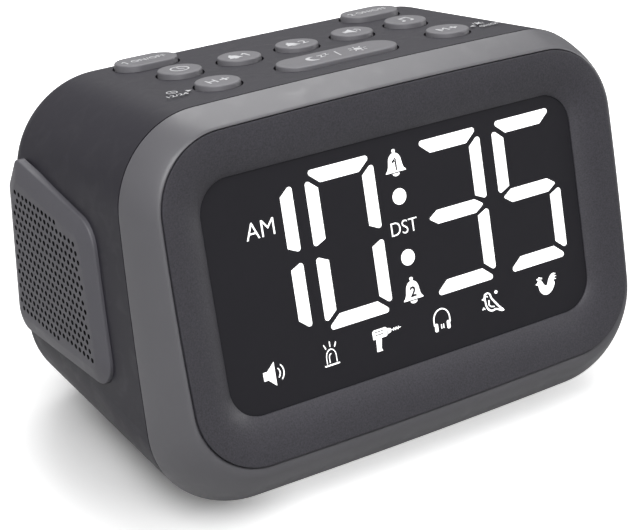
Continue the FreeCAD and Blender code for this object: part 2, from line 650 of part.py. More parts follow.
def speaker_profile(points):
    """Ring or bowl turned about the speaker's axis from (distance inwards, radius) points of a 42 mm speaker."""
    outline = [Vector(SPEAKER_X + d, SPEAKER_Y + r * SPEAKER_UNIT, SPEAKER_Z) for d, r in points]
    face = Part.Face(Part.makePolygon(outline + [outline[0]]))
    return face.revolve(Vector(SPEAKER_X, SPEAKER_Y, SPEAKER_Z), Vector(1, 0, 0), 360)


def speaker_plate(half, thick, x0):
    plate = block(half, half, 4.0, 0, thick)
    plate.rotate(Vector(0, 0, 0), Vector(0, 1, 0), 90)
    plate.translate(Vector(x0, SPEAKER_Y, SPEAKER_Z))
    return plate


SPEAKER_HOLE_AT = SPEAKER_HALF - 3.8
SPEAKER_HOLES = [(sy * SPEAKER_HOLE_AT, sz * SPEAKER_HOLE_AT) for sy in (-1, 1) for sz in (-1, 1)]
SOUND_R = 17.2 * SPEAKER_UNIT       # round opening in the side wall before the cone
BASKET_R = 18.2 * SPEAKER_UNIT      # opening of the flange
MAGNET_R = 13.0 * SPEAKER_UNIT
YOKE_R = 11.5 * SPEAKER_UNIT


def speaker_basket():
    flange = speaker_plate(SPEAKER_HALF, 1.4, SPEAKER_X)
    flange = flange.cut(along_x(BASKET_R, SPEAKER_X - 1, SPEAKER_X + 3))
    for dy, dz in SPEAKER_HOLES:
        flange = flange.cut(along_x(HOLE_CLEAR_R, SPEAKER_X - 1, SPEAKER_X + 3,
                                    SPEAKER_Y + dy, SPEAKER_Z + dz))
    bowl = speaker_profile([(0.8, 18.2), (0.8, 19.4), (3.2, 19.4), (9.5, 14.8), (9.5, 0.0), (8.3, 0.0),
                            (8.3, 13.8), (3.4, 17.2), (2.7, 17.2), (2.7, 18.2)])
    return fused([flange, bowl])


def speaker_cone():
    return speaker_profile([(2.0, 17.9), (2.0, 17.2), (1.0, 16.4), (1.4, 15.4), (5.8, 7.0), (4.6, 4.5),
                            (4.0, 0.0), (4.6, 0.0), (5.2, 4.3), (6.5, 7.3), (2.3, 15.6), (2.7, 16.9),
                            (2.7, 17.9)])


def speaker_magnet():
    ring = along_x(MAGNET_R, SPEAKER_X + 9.5, SPEAKER_X + 16.0)
    plate = along_x(YOKE_R, SPEAKER_X + 16.0, SPEAKER_X + 17.5)
    return fused([ring, plate])


def speaker_screws():
    shapes = []
    for dy, dz in SPEAKER_HOLES:
        screw = pan_screw(3.6)
        screw.rotate(Vector(0, 0, 0), Vector(0, 1, 0), 90)
        screw.translate(Vector(SPEAKER_X + 1.4, SPEAKER_Y + dy, SPEAKER_Z + dz))
        shapes.append(screw)
    return Part.makeCompound(shapes)


# ---------------------------------------------------------------- base, boards and back

FOOT_X = 42.0
FOOT_FRONT_Y = SEAM_Y + 5.6
FOOT_BACK_Y = BACK_Y - 11.6
FOOT_R = 5.0
FOOT_TOP = BASE_GAP + 1.2       # each foot sits in a shallow well
FEET = [(sx * FOOT_X, y) for sx in (-1, 1) for y in (FOOT_FRONT_Y, FOOT_BACK_Y)]
BOARD_Z = 11.0                  # underside of the main board
BOARD_HALF_W = 38.5
BOARD_FRONT_Y = SEAM_Y + 10.6
BOARD_BACK_Y = BACK_Y - WALL - 0.8
BOARD_EDGE = 4.5                # from the main board's sides to its posts
BOARD_POSTS = [(sx * (BOARD_HALF_W - BOARD_EDGE), y) for sx in (-1, 1)
               for y in (BOARD_FRONT_Y + 4.0, BOARD_BACK_Y - 12.4)]

DOOR_THICK = 2.0
DOOR_GAP = 0.2
DOOR_OVER = 2.5                 # how far the door overlaps the bay on each side
GRIP_HALF = 9.0                 # half length of the thumb ribs on the door
CELL_R = 5.2
CELL_LEN = 44.2
CELL_PITCH = 12.6
CELL_BACK = 1.2                 # gap between the cells and the door
CONTACT_REACH = 2.9             # room for a contact at each end of a cell
BAY_MID_X = 1.0
BAY_MID_Z = 46.5
BAY_WALL = 1.5
BAY_DEPTH = 2 * CELL_R + 4.6
BAY_X0 = BAY_MID_X - CELL_LEN / 2 - CONTACT_REACH
BAY_X1 = BAY_MID_X + CELL_LEN / 2 + CONTACT_REACH
BAY_Z0 = BAY_MID_Z - CELL_PITCH / 2 - CELL_R - 2.0
BAY_Z1 = BAY_MID_Z + CELL_PITCH / 2 + CELL_R + 2.0
CELL_Z = (BAY_MID_Z - CELL_PITCH / 2, BAY_MID_Z + CELL_PITCH / 2)

PORT_LOW = BOARD_Z + BOARD_THICK
JACK_X = -22.0
JACK_R = 3.9                    # barrel of the power inlet
JACK_RISE = 5.5                 # its axis over the board
USB_X = 4.0
USB_HALF_W = 6.6
USB_HIGH = 5.8
USB_RISE = 0.9                  # underside of the socket over the board
USB_SHEET = 0.4
PORT_GAP = 0.2


def battery_bay():
    """Block behind the back wall out of which the bay is hollowed."""
    inner_y = BACK_Y - DOOR_THICK - BAY_DEPTH
    return box_between(BAY_X0 - BAY_WALL, BAY_X1 + BAY_WALL, inner_y - BAY_WALL, BACK_Y - WALL,
                       BAY_Z0 - BAY_WALL, BAY_Z1 + BAY_WALL)


def bay_space():
    inner_y = BACK_Y - DOOR_THICK - BAY_DEPTH
    bay = box_between(BAY_X0, BAY_X1, inner_y, BACK_Y + 5, BAY_Z0, BAY_Z1)
    recess = box_between(BAY_X0 - DOOR_OVER, BAY_X1 + DOOR_OVER, BACK_Y - DOOR_THICK, BACK_Y + 5,
                         BAY_Z0 - DOOR_OVER, BAY_Z1 + DOOR_OVER)
    return bay.fuse(recess)


def main_housing():
    outer = rounded_loft(0.0, 0.0, 1.0, BACK_ROUNDING)
    wall_share = WALL / (BACK_Y - SEAM_Y)
    shell = outer.cut(rounded_loft(WALL, -wall_share, 1.0 - wall_share, BACK_ROUNDING - WALL))

    rims = []
    slots = []
    for name, x, y, half_len, radius in BUTTONS:
        rims.append(stadium(x, y, half_len, radius + SLOT_GAP + RIM, GUIDE_LOW, GUIDE_TOP))
        slots.append(stadium(x, y, half_len, radius + SLOT_GAP, GUIDE_LOW - PAST, BUTTON_RISE + 4 * PAST))
    posts = [Part.makeCylinder(POST_R, GUIDE_TOP - SWITCH_BODY_LOW, Vector(x, y, SWITCH_BODY_LOW))
             for x, y in KEY_POSTS]
    top_work = placed(fused(rims + posts), TOP)
    seat = speaker_plate(SPEAKER_HALF + 1.0, SEAT_THICK, SPEAKER_X - SEAT_THICK)
    board_posts = [Part.makeCylinder(POST_R, BOARD_Z - BASE_GAP - 1, Vector(x, y, BASE_GAP + 1))
                   for x, y in BOARD_POSTS]
    added = [top_work, seat, battery_bay()] + board_posts
    shell = shell.multiFuse([piece.common(outer) for piece in added])

    shell = shell.cut(placed(Part.makeCompound(slots), TOP))
    shell = shell.cut(grille_pocket()).cut(mirrored(grille_pocket()))
    shell = shell.cut(along_x(SOUND_R, -GRILLE_SEAT - 2 * PAST, SPEAKER_X + PAST))
    shell = shell.cut(speaker_plate(SPEAKER_HALF, 3.2, SPEAKER_X))
    shell = shell.cut(bay_space())
    holes = []
    for dy, dz in SPEAKER_HOLES:
        holes.append(along_x(PILOT_R, SPEAKER_X - SEAT_THICK, SPEAKER_X + PAST,
                             SPEAKER_Y + dy, SPEAKER_Z + dz))
    for x, y in BOARD_POSTS:
        holes.append(Part.makeCylinder(PILOT_R, SCREW_LEN + SLIP, Vector(x, y, BOARD_Z - SCREW_LEN)))
    for x, y in KEY_POSTS:
        holes.append(placed(Part.makeCylinder(PILOT_R, SCREW_LEN + SLIP, Vector(x, y, KEY_BOARD_LOW)), TOP))
    for x, y in FEET:
        holes.append(Part.makeCylinder(FOOT_R + 0.1, FOOT_TOP + PAST, Vector(x, y, -PAST)))
    inlet_z = PORT_LOW + JACK_RISE
    holes.append(cylinder(JACK_R + PORT_GAP, Vector(JACK_X, BACK_Y - WALL - PAST, inlet_z),
                          Vector(JACK_X, BACK_Y + PAST, inlet_z)))
    holes.append(box_between(USB_X - USB_HALF_W - PORT_GAP, USB_X + USB_HALF_W + PORT_GAP,
                             BACK_Y - WALL - PAST, BACK_Y + PAST,
                             PORT_LOW + USB_RISE - PORT_GAP, PORT_LOW + USB_RISE + USB_HIGH + PORT_GAP))
    return shell.cut(Part.makeCompound(holes)).removeSplitter()


def rubber_feet():
    shapes = []
    for x, y in FEET:
        foot = Part.makeCylinder(FOOT_R, FOOT_TOP, Vector(x, y, 0))
        sole = min(foot.Edges, key=lambda e: e.CenterOfMass.z)
        shapes.append(foot.makeFillet(0.5, [sole]))
    return Part.makeCompound(shapes)


def main_board():
    board = box_between(-BOARD_HALF_W, BOARD_HALF_W, BOARD_FRONT_Y, BOARD_BACK_Y,
                        BOARD_Z, BOARD_Z + BOARD_THICK)
    for x, y in BOARD_POSTS:
        foot = Vector(x, y, BOARD_Z - PAST)
        board = board.cut(Part.makeCylinder(HOLE_CLEAR_R, BOARD_THICK + 2 * PAST, foot))
    return board


def main_board_screws():
    shapes = []
    for x, y in BOARD_POSTS:
        screw = pan_screw(SCREW_LEN)
        screw.translate(Vector(x, y, BOARD_Z + BOARD_THICK))
        shapes.append(screw)
    return Part.makeCompound(shapes)


def board_chips():
    """Clock chip, memory, quartz can, capacitors and coil on the main board."""
    low = BOARD_Z + BOARD_THICK
    shapes = [box_between(-12, 0, 0, 12, low, low + 2.2),
              box_between(8, 14, 2, 8, low, low + 1.6),
              box_between(16, 25, 16, 25, low, low + 4.0)]
    for x, y, radius, high in ((-22, 18, 4.0, 10.0), (-12, 20, 3.2, 8.0),
                               (22, 4, 3.2, 8.0), (2, 20, 1.6, 6.0)):
        can = Part.makeCylinder(radius, high, Vector(x, y, low))
        rim = max(can.Edges, key=lambda e: e.CenterOfMass.z)
        shapes.append(can.makeFillet(0.5, [rim]))
    return Part.makeCompound(shapes)


def dc_jack():
    """Round power inlet with its barrel through the back wall and the centre pin inside."""
    z = PORT_LOW + JACK_RISE
    half = JACK_R + 0.6
    front = BACK_Y - WALL - CLEAR
    body = box_between(JACK_X - half, JACK_X + half, front - 12.0, front, PORT_LOW, PORT_LOW + 2 * JACK_RISE)
    barrel = cylinder(JACK_R, Vector(JACK_X, front - PAST, z), Vector(JACK_X, BACK_Y - 0.3, z))
    bore = cylinder(JACK_R - 1.0, Vector(JACK_X, front - 7.0, z), Vector(JACK_X, BACK_Y + PAST, z))
    pin = cylinder(0.9, Vector(JACK_X, front - 7.5, z), Vector(JACK_X, BACK_Y - 1.5, z))
    return fused([fused([body, barrel]).cut(bore), pin])


def usb_port():
    """Sheet-metal charging socket."""
    low = PORT_LOW + USB_RISE
    half = USB_HALF_W - USB_SHEET
    shell = box_between(USB_X - USB_HALF_W, USB_X + USB_HALF_W, BACK_Y - 14.0, BACK_Y - 0.4,
                        low, low + USB_HIGH)
    mouth = box_between(USB_X - half, USB_X + half, BACK_Y - 12.0, BACK_Y + PAST,
                        low + USB_SHEET, low + USB_HIGH - USB_SHEET)
    legs = []
    for side in (-1, 1):
        leg_x = USB_X + side * USB_HALF_W
        legs.append(box_between(leg_x - 0.5, leg_x + 0.5, BACK_Y - 10, BACK_Y - 7, PORT_LOW, low + 0.6))
    return fused([shell.cut(mouth)] + legs)


def usb_tongue():
    low = PORT_LOW + USB_RISE
    half = USB_HALF_W - USB_SHEET - 0.8
    return box_between(USB_X - half, USB_X + half, BACK_Y - 12.0, BACK_Y - 2.4, low + 3.0, low + 4.6)


def battery_cells():
    shapes = []
    y = BACK_Y - DOOR_THICK - CELL_R - CELL_BACK
    for z, way in zip(CELL_Z, (1, -1)):
        start = Vector(BAY_MID_X - way * CELL_LEN / 2, y, z)
        end = Vector(BAY_MID_X + way * (CELL_LEN / 2 - 1.2), y, z)
        can = cylinder(CELL_R, start, end)
        nub = cylinder(1.9, end - Vector(way * 0.5, 0, 0), end + Vector(way * 1.2, 0, 0))
        shapes.append(can.fuse(nub).removeSplitter())
    return Part.makeCompound(shapes)


def battery_contacts():
    """Plates at the ends of the bay, each with a raised button or coil that meets its cell."""
    y = BACK_Y - DOOR_THICK - CELL_R - CELL_BACK
    shapes = []
    for z in CELL_Z:
        for wall_x, way in ((BAY_X0, 1), (BAY_X1, -1)):
            plate = box_between(min(wall_x, wall_x + way * 0.4), max(wall_x, wall_x + way * 0.4),
                                y - 4.5, y + 4.5, z - 4.5, z + 4.5)
            boss = Part.makeCone(3.6, 2.2, CONTACT_REACH - 0.3, Vector(wall_x + way * 0.3, y, z),
                                 Vector(way, 0, 0))
            shapes.append(plate.fuse(boss).removeSplitter())
    return Part.makeCompound(shapes)


def battery_door():
    """Door in the back wall; it turns about the round lower edge and has a thumb grip."""
    x0 = BAY_X0 - DOOR_OVER + DOOR_GAP
    x1 = BAY_X1 + DOOR_OVER - DOOR_GAP
    axis_z = BAY_Z0 - DOOR_OVER + DOOR_GAP + DOOR_THICK / 2
    y0 = BACK_Y - DOOR_THICK
    plate = box_between(x0, x1, y0 + 0.05, BACK_Y, axis_z, BAY_Z1 + DOOR_OVER - DOOR_GAP)
    edge_y = BACK_Y - DOOR_THICK / 2 + 0.025
    edge = cylinder(DOOR_THICK / 2 - 0.03, Vector(x0, edge_y, axis_z), Vector(x1, edge_y, axis_z))
    grips = []
    for k in range(3):
        low = BAY_Z1 - 6.0 + k * 2.2
        grips.append(box_between(BAY_MID_X - GRIP_HALF, BAY_MID_X + GRIP_HALF,
                                 BACK_Y - 0.2, BACK_Y + 0.3, low, low + 1.0))
    return fused([plate, edge] + grips)


def swept_lead(points, radius):
    """Insulated lead along straight runs joined by rounded bends."""
    path = Part.makePolygon(points)
    edges = path.Edges
    bends = []
    start = edges[0].Vertexes[0].Point
    for first, second, corner in zip(points, points[2:], points[1:-1]):
        before = Vector(first - corner).normalize()
        after = Vector(second - corner).normalize()
        half = before.getAngle(after) / 2
        bend = 4.0
        reach = bend / math.tan(half)
        hub = corner + (before + after).normalize() * (bend / math.sin(half))
        peak = hub + (corner - hub).normalize() * bend
        bends.append(Part.makeLine(start, corner + before * reach))
        bends.append(Part.Arc(corner + before * reach, peak, corner + after * reach).toShape())
        start = corner + after * reach
    bends.append(Part.makeLine(start, points[-1]))
    wire = Part.Wire(bends)
    profile = Part.Wire(Part.makeCircle(radius, points[0], points[1] - points[0]))
    return wire.makePipeShell([profile], True, False)


def speaker_leads():
    back = SPEAKER_X + 17.5
    leads = []
    for dy in (-1.6, 1.6):
        leads.append(swept_lead([Vector(back, SPEAKER_Y + dy, SPEAKER_Z - 8),
                                 Vector(back + 9, SPEAKER_Y + dy, SPEAKER_Z - 8),
                                 Vector(back + 9, SPEAKER_Y + dy, BOARD_Z + BOARD_THICK)], 0.7))
    return Part.makeCompound(leads)


def display_ribbon():
    """Flat cable from the display board down to the main board."""
    drop = BOARD_FRONT + BOARD_THICK
    lean = math.radians(FRONT_LEAN)
    drop += 0.1
    start = Vector(20, FRONT_Y - 12 * math.sin(lean) + drop * math.cos(lean),
                   FRONT_Z - 12 * math.cos(lean) - drop * math.sin(lean))
    low = Vector(20, 0.0, BOARD_Z + BOARD_THICK)
    path = Part.BezierCurve()
    path.setPoles([start, start + Vector(0, 12, -3), low + Vector(0, 0, 16), low])
    wire = Part.Wire(path.toShape())
    tangent = Vector(0, 12, -3).normalize()
    normal = Vector(0, -tangent.z, tangent.y)
    half = Vector(9, 0, 0)
    thin = normal * 0.35
    profile = Part.makePolygon([start - half - thin, start + half - thin, start + half + thin,
                                start - half + thin, start - half - thin])
    return wire.makePipeShell([profile], True, False)


# ---------------------------------------------------------------- files

keep("front_bezel", front_bezel())
keep("display_frame", display_frame())
keep("display_lens", display_lens())
keep("display_reflector", display_reflector())
keep("display_board", display_board())
keep("display_screws", display_screws())
keep("lit_digits", lit_digits())
keep("main_housing", main_housing())
LEFT_GRILLE = left_grille()
keep("left_grille", LEFT_GRILLE)
keep("right_grille", mirrored(LEFT_GRILLE))
for button_name, at_x, at_y, straight, round_r in BUTTONS:
    keep("button_" + button_name, button(at_x, at_y, straight, round_r))
    keep("plunger_" + button_name, switch_plunger(at_x, at_y))
keep("switch_bodies", switch_bodies())
keep("key_board", key_board())
keep("key_board_screws", key_board_screws())
keep("speaker_basket", speaker_basket())
keep("speaker_cone", speaker_cone())
keep("speaker_magnet", speaker_magnet())
keep("speaker_screws", speaker_screws())
keep("speaker_leads", speaker_leads())
keep("display_ribbon", display_ribbon())
keep("main_board", main_board())
keep("main_board_screws", main_board_screws())
keep("board_chips", board_chips())
keep("dc_jack", dc_jack())
keep("usb_port", usb_port())
keep("usb_tongue", usb_tongue())
keep("battery_cells", battery_cells())
keep("battery_contacts", battery_contacts())
keep("battery_door", battery_door())
keep("rubber_feet", rubber_feet())
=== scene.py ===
import json
import math

import bpy
from bpy.props import FloatProperty, FloatVectorProperty, IntProperty, PointerProperty
from bpy.types import Operator, Panel, PropertyGroup
from mathutils import Matrix, Vector

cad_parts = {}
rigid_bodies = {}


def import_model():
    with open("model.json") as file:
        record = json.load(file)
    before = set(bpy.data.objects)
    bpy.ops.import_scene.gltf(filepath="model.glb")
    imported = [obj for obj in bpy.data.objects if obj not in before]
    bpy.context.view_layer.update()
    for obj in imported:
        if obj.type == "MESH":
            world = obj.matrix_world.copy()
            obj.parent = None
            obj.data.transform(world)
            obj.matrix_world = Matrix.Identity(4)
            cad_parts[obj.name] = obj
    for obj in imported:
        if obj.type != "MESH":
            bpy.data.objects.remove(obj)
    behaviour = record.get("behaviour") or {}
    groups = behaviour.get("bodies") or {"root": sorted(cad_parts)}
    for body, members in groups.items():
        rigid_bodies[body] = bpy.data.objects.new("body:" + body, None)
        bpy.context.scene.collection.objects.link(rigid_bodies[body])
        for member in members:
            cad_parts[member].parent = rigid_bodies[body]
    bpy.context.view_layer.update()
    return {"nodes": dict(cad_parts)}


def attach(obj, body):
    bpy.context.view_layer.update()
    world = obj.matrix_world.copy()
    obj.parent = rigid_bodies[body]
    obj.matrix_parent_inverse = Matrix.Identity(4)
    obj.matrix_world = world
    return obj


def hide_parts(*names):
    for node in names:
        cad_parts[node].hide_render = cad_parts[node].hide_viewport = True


bl_info = {
    "name": "Digital alarm clock",
    "version": (1, 0, 0),
    "blender": (4, 5, 0),
    "location": "3D View > Sidebar > Clock",
    "description": "Dresses the packed alarm clock: mouldings, grilles, buttons, display and finishes",
    "category": "Object",
}

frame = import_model()

MM = 0.001
BODY = "clock"
# Two heights that differ by less, in millimetres, count as one level.
LEVEL = 0.001
# Points closer together than this are merged.
TOUCHING = 1e-5


# ---------------------------------------------------------------- settings


class ClockSizes(PropertyGroup):
    """Places of the leaning face and the sloping top, in millimetres."""
    front_y: FloatProperty(
        name="Front depth", description="Place of the front plane's middle", default=-33.2)
    front_z: FloatProperty(
        name="Front height", description="Height of the front plane's middle", default=52.804)
    front_lean: FloatProperty(
        name="Front lean", description="How far the front leans back", default=math.radians(15.24),
        subtype="ANGLE", unit="ROTATION")
    top_y: FloatProperty(name="Top depth", description="Place of the top's front edge", default=-13.366)
    top_z: FloatProperty(
        name="Top height", description="Height of the top's front edge", default=91.688)
    top_slope: FloatProperty(
        name="Top slope", description="How far the top slopes down to the back",
        default=math.radians(7.77), subtype="ANGLE", unit="ROTATION")
    lens_drop: FloatProperty(
        name="Window depth", description="How far the window lies behind the front", default=3.2)
    print_thick: FloatProperty(
        name="Print thickness", description="Height of printed marks", default=0.05)
    sign_thick: FloatProperty(
        name="Sign thickness", description="Height of the lit signs over the window", default=0.12)
    figure_thick: FloatProperty(
        name="Figure thickness", description="Height of the figures on the bells", default=0.02)
    figure_heavy: FloatProperty(
        name="Figure weight", description="Added stroke of the figures", default=0.03)
    words_heavy: FloatProperty(
        name="Word weight", description="Added stroke of AM and DST", default=-0.014)
    soft_edge: FloatProperty(
        name="Soft edge", description="Rounding of the mouldings' edges", default=0.16)


class BezelSizes(PropertyGroup):
    """Form of the grey bezel between the front plane and the seam, in millimetres."""
    inner_w: FloatProperty(
        name="Inner half width", description="Half width of the opening", default=61.2)
    inner_h: FloatProperty(
        name="Inner half height", description="Half height of the opening", default=37.3)
    inner_corner: FloatProperty(
        name="Inner corners", description="Radius of the opening's corners", default=16.9)
    inner_bow: FloatProperty(name="Inner bow", description="Bow of the opening's sides", default=0.9)
    seam_y: FloatProperty(name="Seam depth", description="Place of the seam's middle", default=-21.1)
    seam_z: FloatProperty(name="Seam height", description="Height of the seam's middle", default=46.444)
    seam_lean: FloatProperty(
        name="Seam lean", description="How far the seam leans back", default=math.radians(9.7),
        subtype="ANGLE", unit="ROTATION")
    seam_w: FloatProperty(name="Seam half width", description="Half width at the seam", default=66.0)
    seam_h: FloatProperty(name="Seam half height", description="Half height at the seam", default=45.03)
    seam_corner: FloatProperty(
        name="Seam corners", description="Radius of the corners at the seam", default=21.0)
    seam_bow: FloatProperty(name="Seam bow", description="Bow of the sides at the seam", default=0.85)
    fullness: FloatProperty(
        name="Fullness", description="Section: 1 is a quarter round, 2 nearly a bevel", default=1.29)
    edge_width: FloatProperty(
        name="Rounded edge", description="Width of the rounding at the opening", default=1.1)
    edge_depth: FloatProperty(
        name="Rounding depth", description="Depth of the rounding at the opening", default=1.3)
    collar: FloatProperty(
        name="Collar", description="Depth of the collar round the opening", default=3.9)
    collar_thick: FloatProperty(name="Collar thickness", description="Its thickness", default=1.1)
    lip_out: FloatProperty(
        name="Lip's outside", description="Step from the seam's edge to the lip", default=2.75)
    lip_thick: FloatProperty(name="Lip", description="Thickness of the lip", default=1.3)
    lip_depth: FloatProperty(
        name="Lip depth", description="How far the lip reaches behind the seam", default=4.0)
    lip_root: FloatProperty(
        name="Lip's root", description="How far its inside starts before the seam", default=0.6)
    slip: FloatProperty(
        name="Slip", description="Gap round the surround, or its overlap below zero", default=-0.1)


class ButtonSizes(PropertyGroup):
    """Forms of the push buttons, in millimetres."""
    column: FloatProperty(
        name="Column pitch", description="Distance between button columns", default=16.15)
    row_front: FloatProperty(
        name="Front row", description="Place of the front row on the top", default=12.1)
    row_mid: FloatProperty(
        name="Middle row", description="Place of the middle row on the top", default=29.3)
    row_back: FloatProperty(
        name="Back row", description="Place of the back row on the top", default=45.15)
    radius: FloatProperty(name="Radius", description="Radius of the round buttons", default=5.35)
    rise: FloatProperty(name="Rise", description="Height of the faces over the top", default=0.81)
    long_half: FloatProperty(
        name="Long button", description="Half of the long button's straight part", default=10.8)
    switch_radius: FloatProperty(
        name="Switch radius", description="Radius of the two ON and OFF buttons", default=5.05)
    switch_half: FloatProperty(
        name="Switch length", description="Half of their straight part", default=3.0)
    switch_out: FloatProperty(
        name="Switch offset", description="How far they stand outside the columns", default=0.25)
    neck: FloatProperty(
        name="Neck", description="Height from the face down to the flange", default=5.31)
    draft: FloatProperty(name="Draft", description="How much the cap narrows to its face", default=0.15)
    cap_edge: FloatProperty(name="Cap's edge", description="Rounding round the face", default=0.32)
    face_ring: FloatProperty(
        name="Face ring", description="Width of the ring round the face's middle", default=0.4)
    flange: FloatProperty(
        name="Flange", description="How far the flange stands out, and its thickness", default=1.0)
    stem_radius: FloatProperty(name="Stem radius", description="Radius of the stem", default=1.6)
    stem_length: FloatProperty(name="Stem length", description="Length below the flange", default=2.55)


class GrilleSizes(PropertyGroup):
    """Form of the raised side grilles, in millimetres."""
    seat: FloatProperty(
        name="Foot", description="Place of the grille's foot from the middle", default=65.3)
    edge: FloatProperty(name="Edge", description="Height of the upright edge", default=2.0)
    out: FloatProperty(
        name="Face", description="Place of the perforated face from the middle", default=68.8)
    front_y: FloatProperty(name="Front", description="Front edge", default=-7.8)
    back_y: FloatProperty(name="Back", description="Back edge", default=37.5)
    cut_forward: FloatProperty(
        name="Cut corner, top", description="Size of the cut corner along the top", default=4.5)
    cut_down: FloatProperty(
        name="Cut corner, back", description="Size of the cut corner down the back", default=8.0)
    mid_z: FloatProperty(name="Middle height", description="Height of its middle", default=45.7)
    front_half: FloatProperty(
        name="Front half height", description="Half height at the front", default=19.4)
    back_half: FloatProperty(
        name="Back half height", description="Half height at the back", default=22.6)
    front_round: FloatProperty(
        name="Front corners", description="Radius of the front corners", default=7.0)
    back_round: FloatProperty(
        name="Back corner", description="Radius of the lower back corner", default=5.0)
    cut_round: FloatProperty(
        name="Cut corner's rounding", description="Radius below the cut corner", default=3.0)
    peak_round: FloatProperty(
        name="Peak rounding", description="Radius above the cut corner", default=1.8)
    lean: FloatProperty(
        name="Lean", description="Lean of the front edge", default=math.radians(9.7), subtype="ANGLE",
        unit="ROTATION")
    margin: FloatProperty(name="Border", description="Width of the sloping border", default=4.2)
    least_round: FloatProperty(
        name="Least rounding", description="Smallest radius of the face's corners", default=1.2)
    corner_steps: IntProperty(
        name="Corner steps", description="Facets round one corner", default=10, min=3, max=30)
    land: FloatProperty(name="Land", description="Plain strip beside the holes", default=1.35)
    back_land: FloatProperty(name="Back land", description="The same at the back edge", default=0.75)
    rows: IntProperty(name="Rows", description="Rows of holes", default=18, min=1, max=40)
    soft: FloatProperty(name="Soft edge", description="Rounding of the cover's edges", default=0.3)
    hole_radius: FloatProperty(
        name="Hole radius", description="Radius of the round holes", default=0.62)
    column_pitch: FloatProperty(
        name="Hole pitch", description="Pitch of the holes along a row", default=2.03)
    row_pitch: FloatProperty(name="Row pitch", description="Distance between two rows", default=1.906)
    first_row_z: FloatProperty(
        name="Top row", description="Height of the top row of holes", default=60.83)
    first_hole_y: FloatProperty(
        name="First hole", description="Place of the top row's first hole", default=10.93)
    hole_sides: IntProperty(
        name="Hole sides", description="Facets round one hole", default=14, min=8, max=24)
    field_round: FloatProperty(
        name="Field rounding", description="Least radius of the field of holes", default=1.5)


class ClockColours(PropertyGroup):
    """Base colours of the finishes."""
    body: FloatVectorProperty(
        name="Body", description="Charcoal housing", default=(0.0195, 0.0179, 0.0252), size=3,
        subtype="COLOR", min=0, max=1)
    bezel: FloatVectorProperty(
        name="Bezel", description="Mid grey bezel", default=(0.114, 0.1118, 0.1225), size=3,
        subtype="COLOR", min=0, max=1)
    surround: FloatVectorProperty(
        name="Surround", description="Pebbled window surround", default=(0.0490, 0.0470, 0.0560),
        size=3, subtype="COLOR", min=0, max=1)
    window: FloatVectorProperty(
        name="Window", description="Near-black window", default=(0.0193, 0.0186, 0.0226), size=3,
        subtype="COLOR", min=0, max=1)
    button: FloatVectorProperty(
        name="Button", description="Grey push buttons", default=(0.176, 0.172, 0.187), size=3,
        subtype="COLOR", min=0, max=1)
    grille: FloatVectorProperty(
        name="Grille", description="Grey side grilles", default=(0.084, 0.0815, 0.0945), size=3,
        subtype="COLOR", min=0, max=1)
    light: FloatVectorProperty(
        name="Light", description="Lit digits and signs", default=(1.0, 1.0, 1.0), size=3,
        subtype="COLOR", min=0, max=1)
    print_white: FloatVectorProperty(
        name="Print", description="Printed marks", default=(0.72, 0.72, 0.74), size=3, subtype="COLOR",
        min=0, max=1)


class StageSettings(PropertyGroup):
    """Camera and lamps."""
    camera_place: FloatVectorProperty(
        name="Camera", description="Place of the camera in metres",
        default=(-0.22314, -0.32402, 0.22785), size=3, unit="LENGTH")
    azimuth: FloatProperty(
        name="Azimuth", description="Turn of the view to the right", default=math.radians(34.04),
        subtype="ANGLE", unit="ROTATION")
    elevation: FloatProperty(
        name="Elevation", description="How far the camera looks down", default=math.radians(26.03),
        subtype="ANGLE", unit="ROTATION")
    lens: FloatProperty(name="Lens", description="Focal length in millimetres", default=100.06)
    shift_x: FloatProperty(name="Shift", description="Sideways shift of the frame", default=0.00218)
    world_strength: FloatProperty(
        name="Room light", description="Strength of the room's light", default=0.03)
    world_mirrored: FloatProperty(
        name="Mirrored room", description="Strength of the room in reflections", default=0.7)
    lamp_high: FloatProperty(
        name="High lamp", description="Power of the high lamp, in watts", default=7.0)
    lamp_back: FloatProperty(
        name="Back lamp", description="Power of the back lamp, in watts", default=3.4)
    lamp_front: FloatProperty(
        name="Front lamp", description="Power of the low front lamp, in watts", default=1.05)
    # Painted light: the seen floor's glow at the shadow patch left of the clock and just beside it, where
    # it rises and washes out the real cast shadow.
    painted_glow_in_shadow: FloatProperty(
        name="Floor glow", description="Lift of the seen floor to white in the shadow", default=0.0)
    painted_glow_beside_shadow: FloatProperty(
        name="Front glow", description="The same just outside the shadow", default=0.62)
    floor_tone: FloatProperty(
        name="Floor tone", description="Grey of the floor that lights the clock", default=0.74)


# ---------------------------------------------------------------- hand tools


def rest():
    """Leaves edit mode with nothing selected."""
    if bpy.context.object is not None and bpy.context.object.mode != "OBJECT":
        bpy.ops.object.mode_set(mode="OBJECT")
    bpy.ops.object.select_all(action="DESELECT")


def take(obj):
    """Makes one object the only selected and the active one."""
    rest()
    obj.select_set(True)
    bpy.context.view_layer.objects.active = obj


def choose(obj, kind, test):
    """Enters edit mode with the vertices, edges or faces selected that pass the test."""
    take(obj)
    bpy.ops.object.mode_set(mode="EDIT")
    bpy.ops.mesh.select_mode(type=kind)
    bpy.ops.mesh.select_all(action="DESELECT")
    bpy.ops.object.mode_set(mode="OBJECT")
    mesh = obj.data
    items = {"VERT": mesh.vertices, "EDGE": mesh.edges, "FACE": mesh.polygons}[kind]
    chosen = [item for item in items if test(item)]
    if not chosen:
        raise RuntimeError(obj.name + ": nothing to shape was found")
    for item in chosen:
        item.select = True
    bpy.ops.object.mode_set(mode="EDIT")


def latest(name):
    """The object that was made last, with its name and its mesh's name set."""
    made = bpy.context.object
    made.name = name
    made.data.name = name
    return made


def join(pieces, name):
    """Joins the pieces into one object of that name."""
    take(pieces[0])
    for piece in pieces[1:]:
        piece.select_set(True)
    if len(pieces) > 1:
        bpy.ops.object.join()
    return latest(name)


